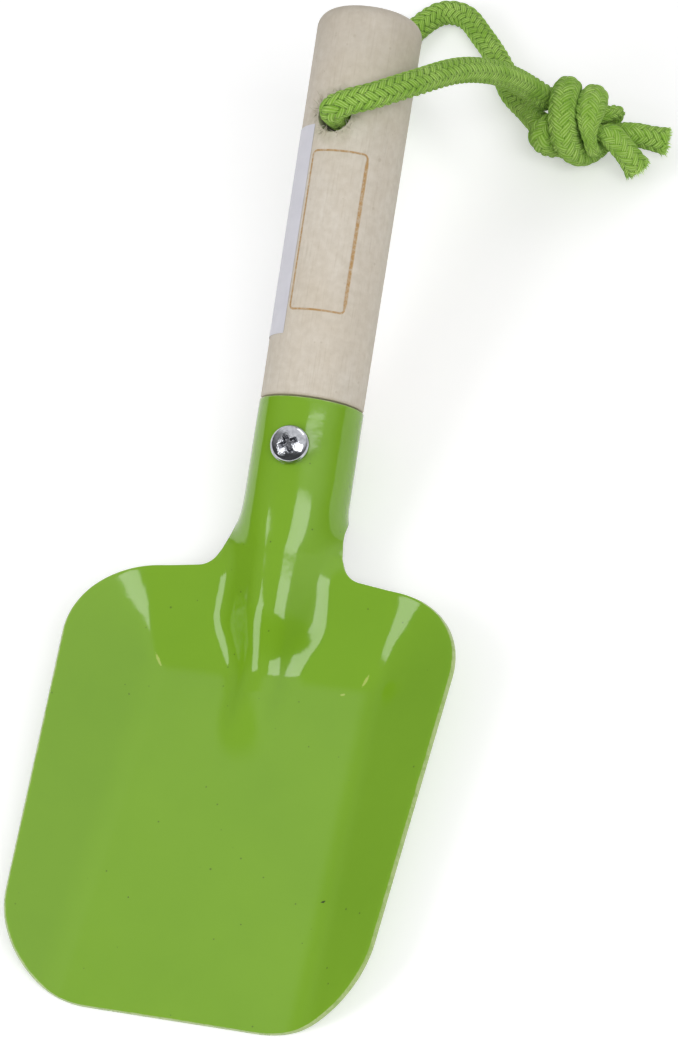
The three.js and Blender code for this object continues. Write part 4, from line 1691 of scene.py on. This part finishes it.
    def fray(
        self, line: np.ndarray, radius: float, front: bool, finish: bpy.types.Material
    ) -> Piece:
        """Fray the cut end of a tail.

        Args:
            line: Points of the strand.
            radius: Radius of the strand at its end.
            front: True for the strand that leaves by the handle's front.
            finish: The braid's material.

        Returns:
            The frayed yarns.
        """
        chance = np.random.default_rng(self.yarn_seeds[0 if front else 1])
        count = self.yarn_ends
        tangent = line[-1] - line[-3]
        tangent /= np.linalg.norm(tangent)
        normals, binormals = carried_frames(line)
        turn = chance.uniform(0, 2 * math.pi, count)
        off = np.sqrt(chance.uniform(self.yarn_least, 1, count))
        ring = normals[-1] * np.cos(turn)[:, None] + binormals[-1] * np.sin(turn)[:, None]
        spread = (self.yarn_spread * radius * off)[:, None]
        roots = line[-1] - tangent * self.yarn_root + ring * spread
        long = chance.uniform(*self.yarn_lengths, count)[:, None]
        ways = tangent * long + ring * (self.yarn_flare * off)[:, None] * long
        curls = ring * chance.normal(*self.yarn_curl, count)[:, None]
        curls = curls + chance.normal(0, self.yarn_stray, (count, 3))
        name = "frayed_front" if front else "frayed_back"
        piece = tuft(name, roots, ways, curls, self.yarn_thick)
        # Painted shade at the roots of the frayed yarns.
        write_values(piece, "plait", np.tile(self.yarn_shades, count))
        layer = piece.data.uv_layers.new(name="weave")
        backs = np.tile(self.yarn_back, len(piece.data.loops))
        layer.data.foreach_set("uv", backs.astype(np.float32))
        fit(piece, finish, Slot.BRAID)
        return piece

    def weave(self, mesh: bpy.types.Mesh, run: np.ndarray) -> None:
        """Write each plait's own place, across and along it, to the mesh as a UV map.

        Args:
            mesh: The strand's mesh, rings first.
            run: Length along the strand of each ring.
        """
        layer = mesh.uv_layers.new(name="weave")
        quads = (len(run) - 1) * self.sides
        j, i = np.divmod(np.arange(quads), self.sides)
        step = np.array([[0, 0], [1, 0], [1, 1], [0, 1]])
        turn = (i[:, None] + step[:, 0]) / self.sides
        along = run[j[:, None] + step[:, 1]] / self.lay
        right, left = self.plaits * (along + turn), self.plaits * (along - turn)
        a, b = np.floor(right.mean(1)), np.floor(left.mean(1))
        upper = np.mod(a - b, 4) < 2
        across = np.where(upper[:, None], right - a[:, None], left - b[:, None])
        down = np.where(upper[:, None], left, right)
        down = down + self.yarn_shift * np.where(upper, a, b + 0.5)[:, None]
        weave = np.stack([across, down], 2).reshape(-1, 2)
        values = np.zeros((len(mesh.loops), 2), np.float32)
        values[: len(weave)] = weave
        layer.data.foreach_set("uv", values.reshape(-1))


def even_curve(points: np.ndarray, step: float) -> np.ndarray:
    """Return points at even steps on a smooth curve through the given ones.

    Args:
        points: Points that the curve passes.
        step: Distance between the points wanted.

    Returns:
        Points along the curve.
    """
    padded = np.concatenate([[2 * points[0] - points[1]], points, [2 * points[-1] - points[-2]]])
    dense, parts, least = [], 60, 1e-4
    for p0, p1, p2, p3 in zip(padded, padded[1:], padded[2:], padded[3:]):
        pairs = ((p0, p1), (p1, p2), (p2, p3))
        d0, d1, d2 = (max(np.linalg.norm(b - a) ** 0.5, least) for a, b in pairs)
        t1 = ((p1 - p0) / d0 - (p2 - p0) / (d0 + d1) + (p2 - p1) / d1) * d1
        t2 = ((p2 - p1) / d1 - (p3 - p1) / (d1 + d2) + (p3 - p2) / d2) * d1
        square, cube = 3 * (p2 - p1) - 2 * t1 - t2, 2 * (p1 - p2) + t1 + t2
        for t in np.linspace(0, 1, parts, endpoint=False):
            dense.append(p1 + t1 * t + square * t**2 + cube * t**3)
    line = np.array(dense + [points[-1]])
    return spaced(line, round(run_along(line)[-1] / step) + 1)


def carried_frames(line: np.ndarray) -> tuple[np.ndarray, np.ndarray]:
    """Return normals and binormals that follow a line without twisting.

    Args:
        line: Points along the line.

    Returns:
        One normal and one binormal for each point.
    """
    tangents = np.gradient(line, axis=0)
    tangents /= np.linalg.norm(tangents, axis=1)[:, None]
    askew = [0.3, 0.9, 0.2]
    normal = np.cross(tangents[0], askew)
    normals = []
    for tangent in tangents:
        normal = normal - tangent * normal.dot(tangent)
        normal = normal / np.linalg.norm(normal)
        normals.append(normal)
    kept = np.array(normals)
    return kept, np.cross(tangents, kept)


# Studio


@dataclass(frozen=True)
class Softbox:
    """One lamp of the studio: where it stands as seen from the tool, its size and brightness."""

    name: str
    toward: Triple
    distance: float
    width: float
    height: float
    radiance: float
    turn: float = 0.0

    def place(self) -> None:
        """Stand the lamp and aim it at the tool."""
        clear_selection()
        bpy.ops.object.light_add(type="AREA")
        lamp = bpy.context.object
        lamp.name = self.name
        lamp.data.shape = "RECTANGLE"
        lamp.data.size = self.width
        lamp.data.size_y = self.height
        lamp.data.energy = self.radiance * math.pi * self.width * self.height
        way = Vector(self.toward).normalized()
        aim = way.to_track_quat("Z", "Y").to_matrix().to_4x4()
        stand = Matrix.Translation(way * self.distance)
        lamp.matrix_world = stand @ aim @ Matrix.Rotation(self.turn, 4, "Z")


@dataclass
class Studio:
    """Pale floor, soft lamps, plain surroundings and the camera."""

    lens: float = 109.3
    shift: Pair = (0.0373, 0.0202)
    aim_reach: float = 110.0
    distance: float = 666.3
    toward: Triple = (0.2721, -0.4766, 0.8359)
    right: Triple = (0.9562, 0.2313, -0.1794)
    up: Triple = (-0.1078, 0.8482, 0.5186)
    lamps: tuple[Softbox, ...] = (
        Softbox("lamp_right", (0.47, -0.37, 0.8), 0.95, 0.6, 0.46, 4.2, -0.88),
        Softbox("lamp_left", (-0.61, -0.47, 0.64), 1.0, 0.36, 0.66, 4.0, 0.6),
        Softbox("lamp_back", (0.35, 0.8, 0.55), 1.3, 0.7, 0.4, 1.6),
    )
    sensor: float = 36.0
    nearest: float = 0.01
    floor_size: float = 6.0
    floor_drop: float = 0.4
    floor_tone: float = 0.8
    floor_reach: Pair = (0.35, 1.6)
    floor_glow: Pair = (0.36, 0.68)
    room: float = 0.43
    side_slant: float = 0.8
    side_range: Pair = (-0.2, 0.25)
    side_least: float = 0.4
    lift_slant: float = 0.5
    lift_range: Pair = (0.1, 0.7)
    lift_least: float = 0.2

    def camera(self) -> None:
        """Stand the camera at the photograph's point of view."""
        clear_selection()
        bpy.ops.object.camera_add()
        camera = bpy.context.object
        camera.name = "camera"
        aim = Vector((0, self.aim_reach - TOOL.middle_reach, TOOL.sheet)) * MM
        axes = Matrix((self.right, self.up, self.toward)).transposed().to_4x4()
        stand = Matrix.Translation(aim + Vector(self.toward) * self.distance * MM)
        camera.matrix_world = stand @ axes
        camera.data.lens = self.lens
        camera.data.sensor_width = self.sensor
        camera.data.shift_x, camera.data.shift_y = self.shift
        camera.data.clip_start = self.nearest
        bpy.context.scene.camera = camera

    def floor(self) -> None:
        """Lay the pale floor."""
        clear_selection()
        under = (0, 0, -self.floor_drop * MM)
        bpy.ops.mesh.primitive_plane_add(size=self.floor_size, location=under)
        floor = take("floor")
        bpy.ops.object.transform_apply(location=True, rotation=True, scale=True)
        material = bpy.data.materials.new("pale_floor")
        nodes = cleared(material)
        matt = nodes.add("ShaderNodeBsdfDiffuse")
        matt.inputs["Color"].default_value = (*[self.floor_tone] * 3, 1)
        glow = nodes.add("ShaderNodeEmission")
        rays = nodes.add("ShaderNodeLightPath")
        seen = nodes.math("MAXIMUM", rays.outputs["Is Camera Ray"], rays.outputs["Is Glossy Ray"])
        seen = nodes.math("MAXIMUM", seen, rays.outputs["Is Transmission Ray"])
        paler = nodes.span(nodes.away(nodes.place()), *self.floor_reach, *self.floor_glow)
        nodes.put(glow.inputs["Strength"], nodes.math("MULTIPLY", seen, paler))
        both = nodes.add("ShaderNodeAddShader")
        nodes.put(both.inputs[0], matt.outputs[0])
        nodes.put(both.inputs[1], glow.outputs[0])
        output = nodes.add("ShaderNodeOutputMaterial")
        nodes.put(output.inputs["Surface"], both.outputs[0])
        floor.data.materials.append(material)

    def surroundings(self) -> None:
        """Light the room evenly, and show it white behind the tool."""
        world = bpy.data.worlds.new("studio")
        bpy.context.scene.world = world
        nodes = cleared(world)
        rays = nodes.add("ShaderNodeLightPath")
        direct, through = rays.outputs["Is Camera Ray"], rays.outputs["Is Transmission Ray"]
        seen = nodes.math("MAXIMUM", direct, through)
        parts = nodes.split(nodes.add("ShaderNodeTexCoord").outputs["Generated"])
        slant = nodes.math("MULTIPLY_ADD", parts[0], self.side_slant, parts[1])
        sides = nodes.span(slant, *self.side_range, self.side_least, 1.0)
        lift = nodes.math("MULTIPLY_ADD", parts[1], self.lift_slant, parts[2])
        upper = nodes.span(lift, *self.lift_range, self.lift_least, 1.0)
        gloss = nodes.math("MULTIPLY", sides, upper)
        room = nodes.blend(rays.outputs["Is Glossy Ray"], (*[self.room] * 3, 1), gloss)
        colour = nodes.blend(seen, room, (1, 1, 1, 1))
        back = nodes.add("ShaderNodeBackground")
        nodes.put(back.inputs["Color"], colour)
        output = nodes.add("ShaderNodeOutputWorld")
        nodes.put(output.inputs["Surface"], back.outputs[0])

    def build(self) -> None:
        """Set up the whole studio."""
        bpy.context.scene.view_settings.view_transform = "Standard"
        self.camera()
        self.floor()
        self.surroundings()
        for lamp in self.lamps:
            lamp.place()


def main() -> None:
    """Build the studio and each piece of the tool in order, and note the sizes."""
    logging.basicConfig(level=logging.INFO)
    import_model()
    Studio().build()
    effects = Effects()
    cord = Cord()
    braid = Braid(effects).material()
    for front in (True, False):
        cord.build(front, braid)
    Blade().build(Enamel(effects))
    handle = Handle()
    wood = handle.build(Beech(effects))
    handle.splinters(wood)
    handle.sticker(Paper(effects))
    Screw().build(Zinc(effects))


if __name__ == "__main__":
    main()
